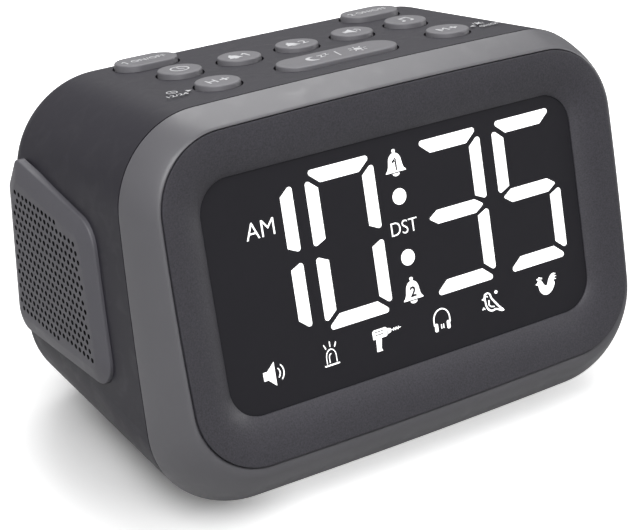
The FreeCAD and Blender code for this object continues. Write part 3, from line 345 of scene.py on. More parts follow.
def twin(obj, name):
    """A copy with a mesh of its own."""
    take(obj)
    bpy.ops.object.duplicate(linked=False)
    return latest(name)


def face_out(obj):
    """Closes the seams and turns all faces outwards."""
    choose(obj, "VERT", lambda vertex: True)
    bpy.ops.mesh.remove_doubles(threshold=TOUCHING)
    bpy.ops.mesh.normals_make_consistent(inside=False)
    rest()


def apply_place(obj, place):
    """Moves the shape to its place on the clock, and keeps that place in its mesh."""
    take(obj)
    obj.matrix_world = place
    bpy.context.view_layer.update()
    bpy.ops.object.transform_apply(location=True, rotation=True, scale=True)


def smooth(obj, degrees):
    """Shades smoothly across the edges that are less sharp than the angle."""
    take(obj)
    bpy.ops.object.shade_smooth_by_angle(angle=math.radians(degrees))


def coat(obj, made):
    """Gives an object one finish."""
    obj.data.materials.clear()
    obj.data.materials.append(made)


def finish(obj, body, slot, made, *nodes):
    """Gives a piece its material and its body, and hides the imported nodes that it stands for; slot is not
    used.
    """
    coat(obj, made)
    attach(obj, body)
    if nodes:
        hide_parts(*nodes)
    rest()


def between(start, end, share):
    """Value at that share of the way from start to end."""
    return start + (end - start) * share


def leaning_place(y, z, turn):
    """Place of a plane across the clock, turned about the line from left to right; scales mm to m."""
    return Matrix.Translation((0, y * MM, z * MM)) @ Matrix.Rotation(turn, 4, "X") @ Matrix.Scale(MM, 4)


def front_place():
    """The front plane, with its middle as the origin."""
    sizes = bpy.context.scene.clock_sizes
    return leaning_place(sizes.front_y, sizes.front_z, math.radians(90) - sizes.front_lean)


def top_place():
    """The sloping top, with the middle of its front edge as the origin."""
    sizes = bpy.context.scene.clock_sizes
    return leaning_place(sizes.top_y, sizes.top_z, -sizes.top_slope)


def moulding_copy(node, name):
    """A merged copy of a packed moulding, ready for its edges to be rounded."""
    piece = twin(frame["nodes"][node], name)
    for key in list(piece.keys()):
        del piece[key]
    bpy.ops.object.parent_clear(type="CLEAR_KEEP_TRANSFORM")
    bpy.ops.mesh.customdata_custom_splitnormals_clear()
    face_out(piece)
    return piece


def bowed_outline(half_w, half_h, corner, bow):
    """Points of a rounded rectangle whose four sides bow gently outwards, from the right round."""
    side_r = (half_h ** 2 + bow ** 2) / (2 * bow)
    top_r = (half_w ** 2 + bow ** 2) / (2 * bow)
    top_hub = Vector((0, half_h + bow - top_r))
    side_hub = Vector((half_w + bow - side_r, 0))
    # The corner's arc touches both sides' arcs, so its hub lies as far from each of their hubs as
    # their radius less its own.
    span = side_hub - top_hub
    near, far = top_r - corner, side_r - corner
    along = (near ** 2 - far ** 2 + span.length ** 2) / (2 * span.length)
    across = math.sqrt(near ** 2 - along ** 2)
    way = span.normalized()
    hub = max((top_hub + way * along + Vector((-way.y, way.x)) * across * turn for turn in (-1, 1)),
              key=lambda point: min(point))
    side_end = math.degrees(math.atan2(hub.y - side_hub.y, hub.x - side_hub.x))
    top_end = math.degrees(math.atan2(hub.y - top_hub.y, hub.x - top_hub.x))
    side = arc(side_hub.x, 0, side_r, 0, side_end, steps=8)
    bend = arc(hub.x, hub.y, corner, side_end, top_end, steps=20)
    quarter = side + bend[1:] + arc(0, top_hub.y, top_r, top_end, 90, steps=12)[1:]
    left = [(-x, y) for x, y in reversed(quarter)][1:]
    upper = quarter + left
    return upper + [(-x, -y) for x, y in upper][1:-1]


def swept(rings, name):
    """Skin through rings with the same number of points: each ring is extruded from the one before."""
    rest()
    bpy.ops.mesh.primitive_circle_add(vertices=len(rings[0]), radius=1, fill_type="NOTHING")
    piece = latest(name)
    for vertex, point in zip(piece.data.vertices, rings[0]):
        vertex.co = point
    for ring in rings[1:]:
        first = len(piece.data.vertices) - len(ring)
        choose(piece, "EDGE", lambda edge: min(edge.vertices) >= first)
        bpy.ops.mesh.extrude_edges_move()
        rest()
        for vertex, point in zip(piece.data.vertices[first + len(ring):], ring):
            vertex.co = point
    return piece


def round_edges(piece, width, degrees=28):
    """Rounds every edge that is sharper than the angle."""
    take(piece)
    bevel = piece.modifiers.new("soft edges", "BEVEL")
    bevel.width = width
    bevel.segments = 2
    bevel.limit_method = "ANGLE"
    bevel.angle_limit = math.radians(degrees)
    bevel.use_clamp_overlap = True
    bevel.miter_outer = "MITER_ARC"
    bpy.ops.object.modifier_apply(modifier=bevel.name)


# ---------------------------------------------------------------- finishes


# The noises stay within this range nearly everywhere.
NOISE_RANGE = (0.3, 0.7)
CLOUDS_PER_METRE = 45.0
# Rubbed patches: how much finer they are than the clouds, the stretch of noise over which they come
# up, how much smoother they are and the smoothest that they get.
RUB_FINER = 4.3
RUB_RANGE = (0.5, 0.72)
RUB_GLOSS = 0.08
SMOOTHEST = 0.05
# Share of its light that a lit surface keeps at its dimmest place.
DIMMEST = 0.99


def new_group(name, inputs, outputs):
    """An empty node group with number, vector or colour sockets."""
    group = bpy.data.node_groups.new(name, "ShaderNodeTree")
    for label, kind, value in inputs:
        socket = group.interface.new_socket(name=label, in_out="INPUT", socket_type=kind)
        if value is not None:
            socket.default_value = value
    for label, kind in outputs:
        group.interface.new_socket(name=label, in_out="OUTPUT", socket_type=kind)
    return group, group.nodes.new("NodeGroupInput"), group.nodes.new("NodeGroupOutput")


def mapped(tree, value, low, high, out_low, out_high, kind="LINEAR"):
    """Carries a value from one range to another."""
    node = tree.nodes.new("ShaderNodeMapRange")
    node.interpolation_type = kind
    for label, limit in (("From Min", low), ("From Max", high), ("To Min", out_low), ("To Max", out_high)):
        node.inputs[label].default_value = limit
    tree.links.new(value, node.inputs["Value"])
    return node.outputs[0]


def combined(tree, operation, first, second):
    """Adds or multiplies two values, of which the second may be a plain number."""
    node = tree.nodes.new("ShaderNodeMath")
    node.operation = operation
    tree.links.new(first, node.inputs[0])
    if isinstance(second, float):
        node.inputs[1].default_value = second
    else:
        tree.links.new(second, node.inputs[1])
    return node.outputs[0]


def shaded(tree, colour, level):
    """A colour made lighter or darker by a value."""
    node = tree.nodes.new("ShaderNodeVectorMath")
    node.operation = "SCALE"
    node.inputs[0].default_value = tuple(colour)
    tree.links.new(level, node.inputs["Scale"])
    return node.outputs[0]


def noise(tree, vector, scale, **settings):
    """Noise over the surface, with its other inputs set by name."""
    node = tree.nodes.new("ShaderNodeTexNoise")
    for label, value in settings.items():
        node.inputs[label].default_value = value
    tree.links.new(vector, node.inputs["Vector"])
    tree.links.new(scale, node.inputs["Scale"])
    return node.outputs["Fac"]


def moulded_grain():
    """Fine spark-eroded grain of a moulded plastic skin."""
    if "moulded_grain" in bpy.data.node_groups:
        return bpy.data.node_groups["moulded_grain"]
    group, source, out = new_group(
        "moulded_grain",
        [("Vector", "NodeSocketVector", None), ("Grains per metre", "NodeSocketFloat", 3000.0),
         ("Pebbles", "NodeSocketFloat", 0.5)],
        [("Height", "NodeSocketFloat"), ("Speckle", "NodeSocketFloat")])
    vector, scale = source.outputs["Vector"], source.outputs["Grains per metre"]
    cells = group.nodes.new("ShaderNodeTexVoronoi")
    cells.feature = "SMOOTH_F1"
    group.links.new(vector, cells.inputs["Vector"])
    group.links.new(scale, cells.inputs["Scale"])
    fine = noise(group, vector, scale, Detail=3.0, Roughness=0.6)
    blend = group.nodes.new("ShaderNodeMix")
    group.links.new(source.outputs["Pebbles"], blend.inputs[0])
    group.links.new(fine, blend.inputs[2])
    group.links.new(cells.outputs["Distance"], blend.inputs[3])
    group.links.new(blend.outputs[0], out.inputs["Height"])
    group.links.new(fine, out.inputs["Speckle"])
    return group


def handling_marks():
    """Slow cloudiness and rubbed patches that daily use leaves on a surface."""
    if "handling_marks" in bpy.data.node_groups:
        return bpy.data.node_groups["handling_marks"]
    group, source, out = new_group(
        "handling_marks",
        [("Vector", "NodeSocketVector", None), ("Clouds per metre", "NodeSocketFloat", CLOUDS_PER_METRE)],
        [("Cloud", "NodeSocketFloat"), ("Rub", "NodeSocketFloat")])
    vector, scale = source.outputs["Vector"], source.outputs["Clouds per metre"]
    group.links.new(noise(group, vector, scale, Detail=4.0), out.inputs["Cloud"])
    finer = combined(group, "MULTIPLY", scale, RUB_FINER)
    rub = noise(group, vector, finer, Detail=6.0, Distortion=0.6)
    group.links.new(mapped(group, rub, *RUB_RANGE, 0.0, 1.0), out.inputs["Rub"])
    return group


def material(name, colour, roughness, grains=3000.0, depth=0.02, pebbles=0.4, vary=0.08, speckle=0.0,
             metal=0.0, specular=0.5, glow=0.0):
    """One finish: base colour and roughness that vary over the surface, with grain as bump."""
    if name in bpy.data.materials:
        return bpy.data.materials[name]
    made = bpy.data.materials.new(name)
    made.use_nodes = True
    tree = made.node_tree
    links = tree.links
    shader = tree.nodes["Principled BSDF"]
    shader.inputs["Metallic"].default_value = metal
    shader.inputs["Specular IOR Level"].default_value = specular
    place = tree.nodes.new("ShaderNodeTexCoord").outputs["Object"]
    grain = tree.nodes.new("ShaderNodeGroup")
    grain.node_tree = moulded_grain()
    grain.inputs["Grains per metre"].default_value = grains
    grain.inputs["Pebbles"].default_value = pebbles
    links.new(place, grain.inputs["Vector"])
    marks = tree.nodes.new("ShaderNodeGroup")
    marks.node_tree = handling_marks()
    links.new(place, marks.inputs["Vector"])
    cloud, rub = marks.outputs["Cloud"], marks.outputs["Rub"]
    tone = mapped(tree, cloud, *NOISE_RANGE, 1.0 - vary, 1.0 + vary)
    fleck = mapped(tree, grain.outputs["Speckle"], *NOISE_RANGE, 1.0 - speckle, 1.0 + speckle)
    level = combined(tree, "MULTIPLY", tone, fleck)
    links.new(shaded(tree, colour, level), shader.inputs["Base Color"])
    rubbed = max(roughness - RUB_GLOSS, SMOOTHEST)
    links.new(mapped(tree, rub, 0.0, 1.0, roughness, rubbed), shader.inputs["Roughness"])
    bump = tree.nodes.new("ShaderNodeBump")
    bump.inputs["Distance"].default_value = depth * MM
    links.new(grain.outputs["Height"], bump.inputs["Height"])
    links.new(bump.outputs["Normal"], shader.inputs["Normal"])
    if glow:
        lit = mapped(tree, cloud, 0.0, 1.0, DIMMEST, 1.0)
        links.new(shaded(tree, colour, lit), shader.inputs["Emission Color"])
        shader.inputs["Emission Strength"].default_value = glow
    return made


def colours():
    """The settings that hold the base colours."""
    return bpy.context.scene.clock_colours


def body_finish():
    return material("charcoal_moulding", colours().body, roughness=0.48, grains=5200.0, depth=0.012,
                    vary=0.03, speckle=0.05, specular=0.25)


def bezel_finish():
    return material("satin_bezel", colours().bezel, roughness=0.42, grains=7000.0, depth=0.006,
                    vary=0.04, speckle=0.03)


def surround_finish():
    return material("pebbled_surround", colours().surround, roughness=0.5, grains=2600.0, depth=0.04,
                    pebbles=0.7, vary=0.04, speckle=0.3, specular=0.35)


def button_finish():
    return material("satin_button", colours().button, roughness=0.45, grains=6500.0, depth=0.006,
                    vary=0.04, speckle=0.03)


def grille_finish():
    return material("grille_moulding", colours().grille, roughness=0.5, grains=5200.0, depth=0.01,
                    vary=0.04, speckle=0.05)


# Near-black hole walls: painted shade that stands in for the dark inside of the grille, not the plastic's
# own colour.
def hole_painted_shade_finish():
    return material("hole_walls", (0.006, 0.006, 0.0065), roughness=0.85, grains=5200.0, depth=0.008,
                    specular=0.1)


def window_finish():
    return material("dark_window", colours().window, roughness=0.62, grains=9000.0, depth=0.003,
                    vary=0.03, specular=0.15)


def light_finish():
    return material("white_light", colours().light, roughness=0.6, grains=4000.0, depth=0.001,
                    vary=0.01, glow=1.0)


def print_finish():
    return material("white_print", colours().print_white, roughness=0.6, grains=9000.0, depth=0.004,
                    vary=0.05, speckle=0.06)


def dark_plastic():
    return material("black_moulding", (0.018, 0.018, 0.02), roughness=0.5, grains=5200.0, depth=0.008)


def plated_steel():
    return material("plated_steel", (0.55, 0.55, 0.56), roughness=0.3, grains=6000.0, depth=0.003,
                    metal=1.0)


# ---------------------------------------------------------------- outlines of signs

# A shape is a list of closed outlines, and one that lies inside another is a hole. A sign is a list
# of shapes. Every sign is drawn in a square of side 1 and is then set to its size.


def arc(x, y, radius, start, end, steps=20):
    """Points of an arc between two angles in degrees."""
    points = []
    for step in range(steps + 1):
        angle = math.radians(start + (end - start) * step / steps)
        points.append((x + radius * math.cos(angle), y + radius * math.sin(angle)))
    return points


def disc(x, y, radius, steps=28):
    """Closed circle."""
    return arc(x, y, radius, 0, 360, steps)[:-1]


def band(path, width):
    """Outline of a line of that width with round ends."""
    half = width / 2
    left, right = [], []
    for index, (x, y) in enumerate(path):
        before = path[max(index - 1, 0)]
        after = path[min(index + 1, len(path) - 1)]
        way = Vector((after[0] - before[0], after[1] - before[1])).normalized()
        left.append((x - way.y * half, y + way.x * half))
        right.append((x + way.y * half, y - way.x * half))
    head = math.degrees(math.atan2(right[-1][1] - path[-1][1], right[-1][0] - path[-1][0]))
    tail = math.degrees(math.atan2(left[0][1] - path[0][1], left[0][0] - path[0][0]))
    end = arc(path[-1][0], path[-1][1], half, head, head + 180, 8)
    start = arc(path[0][0], path[0][1], half, tail, tail + 180, 8)
    return right[:-1] + end + left[-2::-1][:-1] + start


def curved(points, steps=6):
    """Closed outline that runs smoothly through the points."""
    smooth_points = []
    count = len(points)
    for index in range(count):
        a, b, c, d = (Vector(points[(index + k) % count]) for k in (-1, 0, 1, 2))
        for step in range(steps):
            t = step / steps
            point = 0.5 * ((2 * b) + (c - a) * t + (2 * a - 5 * b + 4 * c - d) * t ** 2
                           + (3 * b - a - 3 * c + d) * t ** 3)
            smooth_points.append((point.x, point.y))
    return smooth_points


def both_sides(right_half):
    """Closed outline round x = 0.5 from its right half, which is given from x = 0, bottom to top."""
    return [(0.5 + x, y) for x, y in right_half] + [(0.5 - x, y) for x, y in reversed(right_half)]


def bell_sign():
    half = [(0.38, 0.15), (0.5, 0.15), (0.485, 0.19), (0.40, 0.265), (0.35, 0.38), (0.325, 0.52),
            (0.295, 0.66), (0.215, 0.775), (0.12, 0.835), (0.06, 0.85), (0.055, 0.88), (0.085, 0.925),
            (0.06, 0.985), (0.0, 1.0)]
    clapper = arc(0.5, 0.105, 0.17, 180, 360, 14)
    return [[both_sides(half)], [[(x, 0.105 + (y - 0.105) * 0.6) for x, y in clapper]]]


def speaker_sign():
    cone = [(0.0, 0.32), (0.2, 0.32), (0.55, 0.0), (0.55, 1.0), (0.2, 0.68), (0.0, 0.68)]
    return [[cone], [band(arc(0.52, 0.5, 0.26, -44, 44, 12), 0.045)],
            [band(arc(0.52, 0.5, 0.44, -42, 42, 16), 0.045)]]


def siren_sign():
    dome = band([(0.17, 0.12), (0.17, 0.36)] + arc(0.5, 0.36, 0.33, 180, 0, 16) + [(0.83, 0.12)], 0.045)
    inner = band([(0.36, 0.15), (0.36, 0.36)] + arc(0.5, 0.36, 0.14, 180, 90, 6), 0.04)
    rays = [[band([(0.5, 0.82), (0.5, 1.0)], 0.055)], [band([(0.2, 0.76), (0.1, 0.92)], 0.055)],
            [band([(0.8, 0.76), (0.9, 0.92)], 0.055)]]
    return [[dome], [inner], [band([(0.03, 0.03), (0.97, 0.03)], 0.06)]] + rays


def drill_sign():
    case = [(0.0, 0.58), (0.46, 0.58), (0.50, 0.64), (0.50, 0.94), (0.46, 1.0), (0.06, 1.0), (0.0, 0.93)]
    slots = [band([(0.10, 0.89), (0.36, 0.89)], 0.05), band([(0.10, 0.75), (0.36, 0.75)], 0.05)]
    grip = [(0.10, 0.60), (0.29, 0.60), (0.24, 0.12), (0.28, 0.0), (0.08, 0.0)]
    chuck = [(0.53, 0.66), (0.64, 0.71), (0.64, 0.87), (0.53, 0.92)]
    bit = [[band([(0.66, 0.79), (0.98, 0.79)], 0.03)]]
    for x in (0.74, 0.82, 0.90):
        bit.append([band([(x - 0.015, 0.73), (x + 0.015, 0.85)], 0.022)])
    return [[case] + slots, [grip], [chuck]] + bit


def headphones_sign():
    bow = band([(0.06, 0.34)] + arc(0.5, 0.53, 0.44, 180, 0, 24) + [(0.94, 0.34)], 0.055)
    shapes = [[bow]]
    for side in (-1, 1):
        middle = 0.5 + side * 0.34
        shapes.append([curved([(middle - 0.07, 0.06), (middle + 0.07, 0.06), (middle + 0.085, 0.22),
                               (middle + 0.07, 0.38), (middle - 0.07, 0.38), (middle - 0.085, 0.22)], 4)])
        shapes.append([band([(0.5 + side * 0.06, 0.14), (0.5 + side * 0.06, 0.30)], 0.04)])
    return shapes


def bird_sign():
    outline = curved([(0.02, 0.72), (0.12, 0.76), (0.17, 0.90), (0.32, 0.95), (0.45, 0.86), (0.50, 0.70),
                      (0.62, 0.52), (0.80, 0.28), (1.0, 0.04), (0.86, 0.02), (0.64, 0.14), (0.44, 0.12),
                      (0.26, 0.22), (0.17, 0.42), (0.15, 0.60), (0.11, 0.66)], 5)
    inside = curved([(0.20, 0.74), (0.24, 0.86), (0.33, 0.885), (0.40, 0.83), (0.44, 0.68), (0.56, 0.48),
                     (0.74, 0.24), (0.82, 0.12), (0.64, 0.21), (0.45, 0.19), (0.31, 0.28), (0.23, 0.44),
                     (0.21, 0.60)], 5)
    wing = band([(0.35, 0.60), (0.33, 0.42), (0.42, 0.33), (0.55, 0.30)], 0.05)
    notes = [[disc(0.72, 0.86, 0.07, 14), disc(0.72, 0.86, 0.035, 14)],
             [band([(0.02, 0.30), (0.07, 0.38), (0.12, 0.30)], 0.04)]]
    return [[outline, inside], [wing], [disc(0.29, 0.78, 0.03, 10)]] + notes


def rooster_sign():
    body = curved([(0.02, 0.66), (0.10, 0.72), (0.16, 0.82), (0.27, 0.82), (0.34, 0.66), (0.44, 0.50),
                   (0.54, 0.50), (0.60, 0.68), (0.70, 0.88), (0.84, 0.98), (0.97, 0.93), (0.87, 0.88),
                   (0.99, 0.80), (0.86, 0.77), (0.97, 0.66), (0.83, 0.65), (0.88, 0.50), (0.80, 0.28),
                   (0.66, 0.10), (0.48, 0.02), (0.30, 0.10), (0.18, 0.30), (0.14, 0.52), (0.11, 0.60)], 5)
    comb = [[disc(0.13, 0.89, 0.042, 12)], [disc(0.215, 0.93, 0.05, 12)], [disc(0.30, 0.89, 0.042, 12)]]
    return [[body, disc(0.215, 0.735, 0.024, 10)]] + comb


def moon_sign():
    outer = arc(0.5, 0.5, 0.46, 60, 300, 28)
    inner = arc(0.72, 0.5, 0.40, 262, 98, 22)
    return [[outer + inner]]


def sun_sign():
    rays = []
    for turn in range(8):
        angle = math.radians(45 * turn)
        ends = [(0.5 + reach * math.cos(angle), 0.5 + reach * math.sin(angle)) for reach in (0.36, 0.47)]
        rays.append([band(ends, 0.07)])
    return [[disc(0.5, 0.5, 0.22)]] + rays


def note_sign():
    heads = [[curved([(x - 0.15, 0.10), (x - 0.02, 0.20), (x + 0.13, 0.20), (x + 0.12, 0.08),
                      (x, 0.0), (x - 0.12, 0.0)], 5)] for x in (0.17, 0.75)]
    stems = [[band([(0.29, 0.17), (0.29, 0.84)], 0.07)], [band([(0.87, 0.17), (0.87, 0.96)], 0.07)]]
    return heads + stems + [[[(0.255, 0.74), (0.905, 0.86), (0.905, 1.0), (0.255, 0.88)]]]


def dial_sign():
    ring = [disc(0.5, 0.5, 0.5, 36), disc(0.5, 0.5, 0.42, 36)]
    return [ring, [band([(0.5, 0.5), (0.5, 0.8)], 0.07)], [band([(0.5, 0.5), (0.70, 0.40)], 0.07)]]


def plus_sign():
    return [[[(0.42, 0.1), (0.58, 0.1), (0.58, 0.42), (0.9, 0.42), (0.9, 0.58), (0.58, 0.58), (0.58, 0.9),
              (0.42, 0.9), (0.42, 0.58), (0.1, 0.58), (0.1, 0.42), (0.42, 0.42)]]]


def one_sign():
    return [[band([(0.05, 0.72), (0.34, 0.84), (0.52, 0.98), (0.56, 0.94), (0.56, 0.0)], 0.24)]]


def arrow_sign():
    return [[[(0.0, 0.0), (1.0, 0.5), (0.0, 1.0)]]]


def back_arrow_sign():
    return [[[(1.0, 0.0), (0.0, 0.5), (1.0, 1.0)]]]


def stroke_sign():
    return [[band([(0.3, 0.0), (0.7, 1.0)], 0.12)]]


# Where the signs stand and how large they are, in millimetres: a sign or plain characters, left
# edge, lower edge, width and height. In the window they are measured from the front plane's middle,
# on a button from its middle and on the top from the middle of its front edge.

SOUND_SIGNS = {
    "speaker": (speaker_sign, -42.5, -21.4, 5.5, 5.5),
    "siren": (siren_sign, -26.5, -21.0, 4.0, 5.5),
    "drill": (drill_sign, -12.8, -21.4, 8.0, 5.2),
    "headphones": (headphones_sign, 4.2, -21.6, 5.2, 5.6),
    "bird": (bird_sign, 18.8, -21.5, 6.4, 5.9),
    "rooster": (rooster_sign, 35.4, -21.2, 6.8, 5.0),
}
BELLS = {"1": (bell_sign, -3.0, 17.25, 5.6, 6.3), "2": (bell_sign, -3.0, -12.9, 5.6, 6.3)}
BELL_FIGURES = {"1": (one_sign, -0.9, 18.85, 1.6, 2.5), "2": ("2", -1.0, -11.3, 1.7, 2.5)}
WINDOW_WORDS = {"am": ("AM", -41.2, 12.0, 7.3, 3.75), "dst": ("DST", -3.7, 3.75, 7.3, 3.15)}

BUTTON_MARKS = {
    "snooze_dimmer": ((moon_sign, -8.6, -2.0, 4.0, 4.0), ("Z", -4.7, -0.2, 1.6, 1.9),
                      ("Z", -2.7, 0.9, 1.1, 1.4), (stroke_sign, -1.0, -2.0, 2.4, 4.0),
                      (sun_sign, 3.6, -2.3, 4.6, 4.6)),
    "hour": (("H", -2.6, -1.4, 2.2, 2.8), (plus_sign, 0.3, -1.5, 2.9, 2.9)),
    "minute": (("M", -2.6, -1.4, 2.5, 2.8), (plus_sign, 0.3, -1.5, 2.9, 2.9)),
    "time_set": ((dial_sign, -2.3, -2.3, 4.6, 4.6),),
    "alarm1_set": ((bell_sign, -3.4, -2.0, 3.6, 4.0), (one_sign, 0.9, -1.5, 1.736, 2.8)),
    "alarm2_set": ((bell_sign, -3.4, -2.0, 3.6, 4.0), ("2", 0.9, -1.5, 1.736, 2.8)),
    "alarm_volume": ((speaker_sign, -2.4, -2.1, 4.8, 4.2),),
    "alarm_sound": ((note_sign, -2.2, -2.1, 4.3, 4.2),),
    "alarm1_on_off": ((one_sign, -6.2, -1.1, 1.364, 2.2), ("ON/OFF", -3.9, -1.0, 9.2, 2.0)),
    "alarm2_on_off": (("2", -6.2, -1.1, 1.364, 2.2), ("ON/OFF", -3.9, -1.0, 9.2, 2.0)),
}
TOP_MARKS = {
    "print_hour_hint": (("12/24", -46.2, 9.6, 5.2, 1.5), (arrow_sign, -40.4, 11.3, 1.3, 1.5),
                        (dial_sign, -44.6, 12.2, 2.6, 2.6)),
    "print_minute_hint": ((back_arrow_sign, 39.2, 11.3, 1.3, 1.5), (sun_sign, 41.4, 12.0, 3.0, 3.0),
                          ("ON/OFF", 40.8, 9.4, 6.4, 1.5)),
}


# ---------------------------------------------------------------- making signs


def flat_shape(loops, thick):
    """Closed plate of one flat shape, with its middle on the plane."""
    curve = bpy.data.curves.new("outline", "CURVE")
    curve.dimensions = "2D"
    curve.fill_mode = "BOTH"
    curve.extrude = thick / 2
    for loop in loops:
        spline = curve.splines.new("POLY")
        spline.points.add(len(loop) - 1)
        for point, (x, y) in zip(spline.points, loop):
            point.co = (x, y, 0, 1)
        spline.use_cyclic_u = True
    plate = bpy.data.objects.new("outline", curve)
    bpy.context.scene.collection.objects.link(plate)
    take(plate)
    bpy.ops.object.convert(target="MESH")
    return bpy.context.object


def plate_sign(shapes, left, low, width, height, thick):
    """The shapes of one sign, in a box of that size whose lower left corner is given."""
    pieces = []
    for loops in shapes:
        set_loops = [[(left + x * width, low + y * height) for x, y in loop] for loop in loops]
        pieces.append(flat_shape(set_loops, thick))
    return join(pieces, "sign")


def plate_text(words, left, low, width, height, thick, heavy):
    """Plain characters fitted to a box, as a closed plate; heavy widens their strokes."""
    rest()
    bpy.ops.object.text_add(location=(0, 0, 0))
    text = bpy.context.object
    text.data.body = words
    text.data.extrude = 0.5
    text.data.offset = heavy
    bpy.ops.object.convert(target="MESH")
    plate = bpy.context.object
    corners = [vertex.co for vertex in plate.data.vertices]
    low_x, high_x = min(c.x for c in corners), max(c.x for c in corners)
    low_y, high_y = min(c.y for c in corners), max(c.y for c in corners)
    scale = Matrix.Diagonal((width / (high_x - low_x), height / (high_y - low_y), thick, 1))
    place = Matrix.Translation((left, low, 0)) @ scale @ Matrix.Translation((-low_x, -low_y, 0))
    apply_place(plate, place)
    return plate


def plate(shown, left, low, width, height, thick, heavy=0.0):
    """A closed plate of a sign or of plain characters."""
    if isinstance(shown, str):
        return plate_text(shown, left, low, width, height, thick, heavy)
    return plate_sign(shown(), left, low, width, height, thick)


def set_sign(pieces, name, place, height, thick):
    """Joins the plates of one sign and lays them on the plane at that height."""
    sign = join(pieces, name)
    face_out(sign)
    apply_place(sign, place @ Matrix.Translation((0, 0, height + thick / 2)))
    return sign


# ---------------------------------------------------------------- pieces


class CLOCK_OT_bezel(Operator):
    """Grey bezel round the front, with softened edges"""
    bl_idname = "clock.bezel"
    bl_label = "Bezel"
    skin_steps = 22
    edge_steps = 9

    def ring(self, out, back, inset=0.0, sink=0.0, height=0.0):
        """Outline between the opening (out 0, back 0) and the seam (out 1, back 1).

        inset draws it inwards, sink is the share by which it follows the opening's wall, and height
        lifts it off its own plane.
        """
        shape, sizes = bpy.context.scene.bezel_sizes, bpy.context.scene.clock_sizes
        y = between(sizes.front_y, shape.seam_y, back)
        z = between(sizes.front_z, shape.seam_z, out)
        z -= sink * (y - sizes.front_y) * math.tan(sizes.front_lean)
        lean = between(sizes.front_lean, shape.seam_lean, back)
        place = leaning_place(y, z, math.radians(90) - lean)
        outline = bowed_outline(between(shape.inner_w, shape.seam_w, out) - inset,
                                between(shape.inner_h, shape.seam_h, out) - inset,
                                between(shape.inner_corner, shape.seam_corner, out) - inset,
                                between(shape.inner_bow, shape.seam_bow, out))
        return [place @ Vector((across, up, height)) for across, up in outline]

    def skin(self, turn):
        """Shares out and back of the convex skin: turn 0 is the opening, 90 the seam."""
        fullness = bpy.context.scene.bezel_sizes.fullness
        angle = math.radians(turn)
        return math.sin(angle) ** fullness, 1 - abs(math.cos(angle)) ** fullness

    def rounding(self, shape, front_y):
        """Shares out and back of the rounded edge, from the skin to the wall of the opening."""
        wide, deep = shape.seam_w - shape.inner_w, shape.seam_y - front_y
        start_out = shape.edge_width / wide
        turn = math.asin(start_out ** (1 / shape.fullness))
        start_back = 1 - math.cos(turn) ** shape.fullness
        slope = deep / wide * math.tan(turn) ** (2 - shape.fullness)
        start = Vector((shape.edge_width, start_back * deep))
        # A cubic curve leads from the skin's slope to the wall; its handles are shares of the edge.
        handle, wall_handle = 0.42, 0.22
        nodes = [start, start - Vector((1, slope)) * shape.edge_width * handle,
                 Vector((0, shape.edge_depth * wall_handle)), Vector((0, shape.edge_depth))]
        shares = []
        for step in range(1, self.edge_steps + 1):
            t = step / self.edge_steps
            point = (nodes[0] * (1 - t) ** 3 + nodes[1] * 3 * t * (1 - t) ** 2
                     + nodes[2] * 3 * t * t * (1 - t) + nodes[3] * t ** 3)
            shares.append((point.x / wide, point.y / deep, t))
        return math.degrees(turn), shares

    def execute(self, context):
        sizes, shape = context.scene.clock_sizes, context.scene.bezel_sizes
        first, rounded = self.rounding(shape, sizes.front_y)
        rings = []
        # The convex skin from the seam to the front, and the rounded edge of the opening.
        for step in range(self.skin_steps + 1):
            out, back = self.skin(between(90, first, step / self.skin_steps))
            rings.append(self.ring(out, back))
        for out, back, sink in rounded:
            rings.append(self.ring(out, back, -shape.slip * sink, sink))
        # The collar's foot, then the inside and the outside of the lip.
        rings.append(self.ring(0, 0, -shape.slip, height=-shape.collar))
        rings.append(self.ring(0, 0, -shape.collar_thick, height=-shape.collar))
        lip_in = shape.lip_out + shape.lip_thick
        rings.append(self.ring(1, 1, lip_in, height=shape.lip_root))
        rings.append(self.ring(1, 1, lip_in, height=-shape.lip_depth))
        rings.append(self.ring(1, 1, shape.lip_out, height=-shape.lip_depth))
        rings.append(self.ring(1, 1, shape.lip_out))
        rings.append(rings[0])
        piece = swept(rings, "bezel")
        face_out(piece)
        smooth(piece, degrees=40)
        finish(piece, BODY, "front_bezel", bezel_finish(), "front_bezel")
        return {"FINISHED"}


class CLOCK_OT_surround(Operator):
    """Pebbled dark surround of the window"""
    bl_idname = "clock.surround"
    bl_label = "Window surround"

    def execute(self, context):
        piece = moulding_copy("display_frame", "window_surround")
        round_edges(piece, context.scene.clock_sizes.soft_edge * MM)
        smooth(piece, degrees=40)
        finish(piece, BODY, "display_frame", surround_finish(), "display_frame")
        return {"FINISHED"}


class CLOCK_OT_housing(Operator):
    """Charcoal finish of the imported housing"""
    bl_idname = "clock.housing"
    bl_label = "Housing"

    def execute(self, context):
        coat(frame["nodes"]["main_housing"], body_finish())
        return {"FINISHED"}


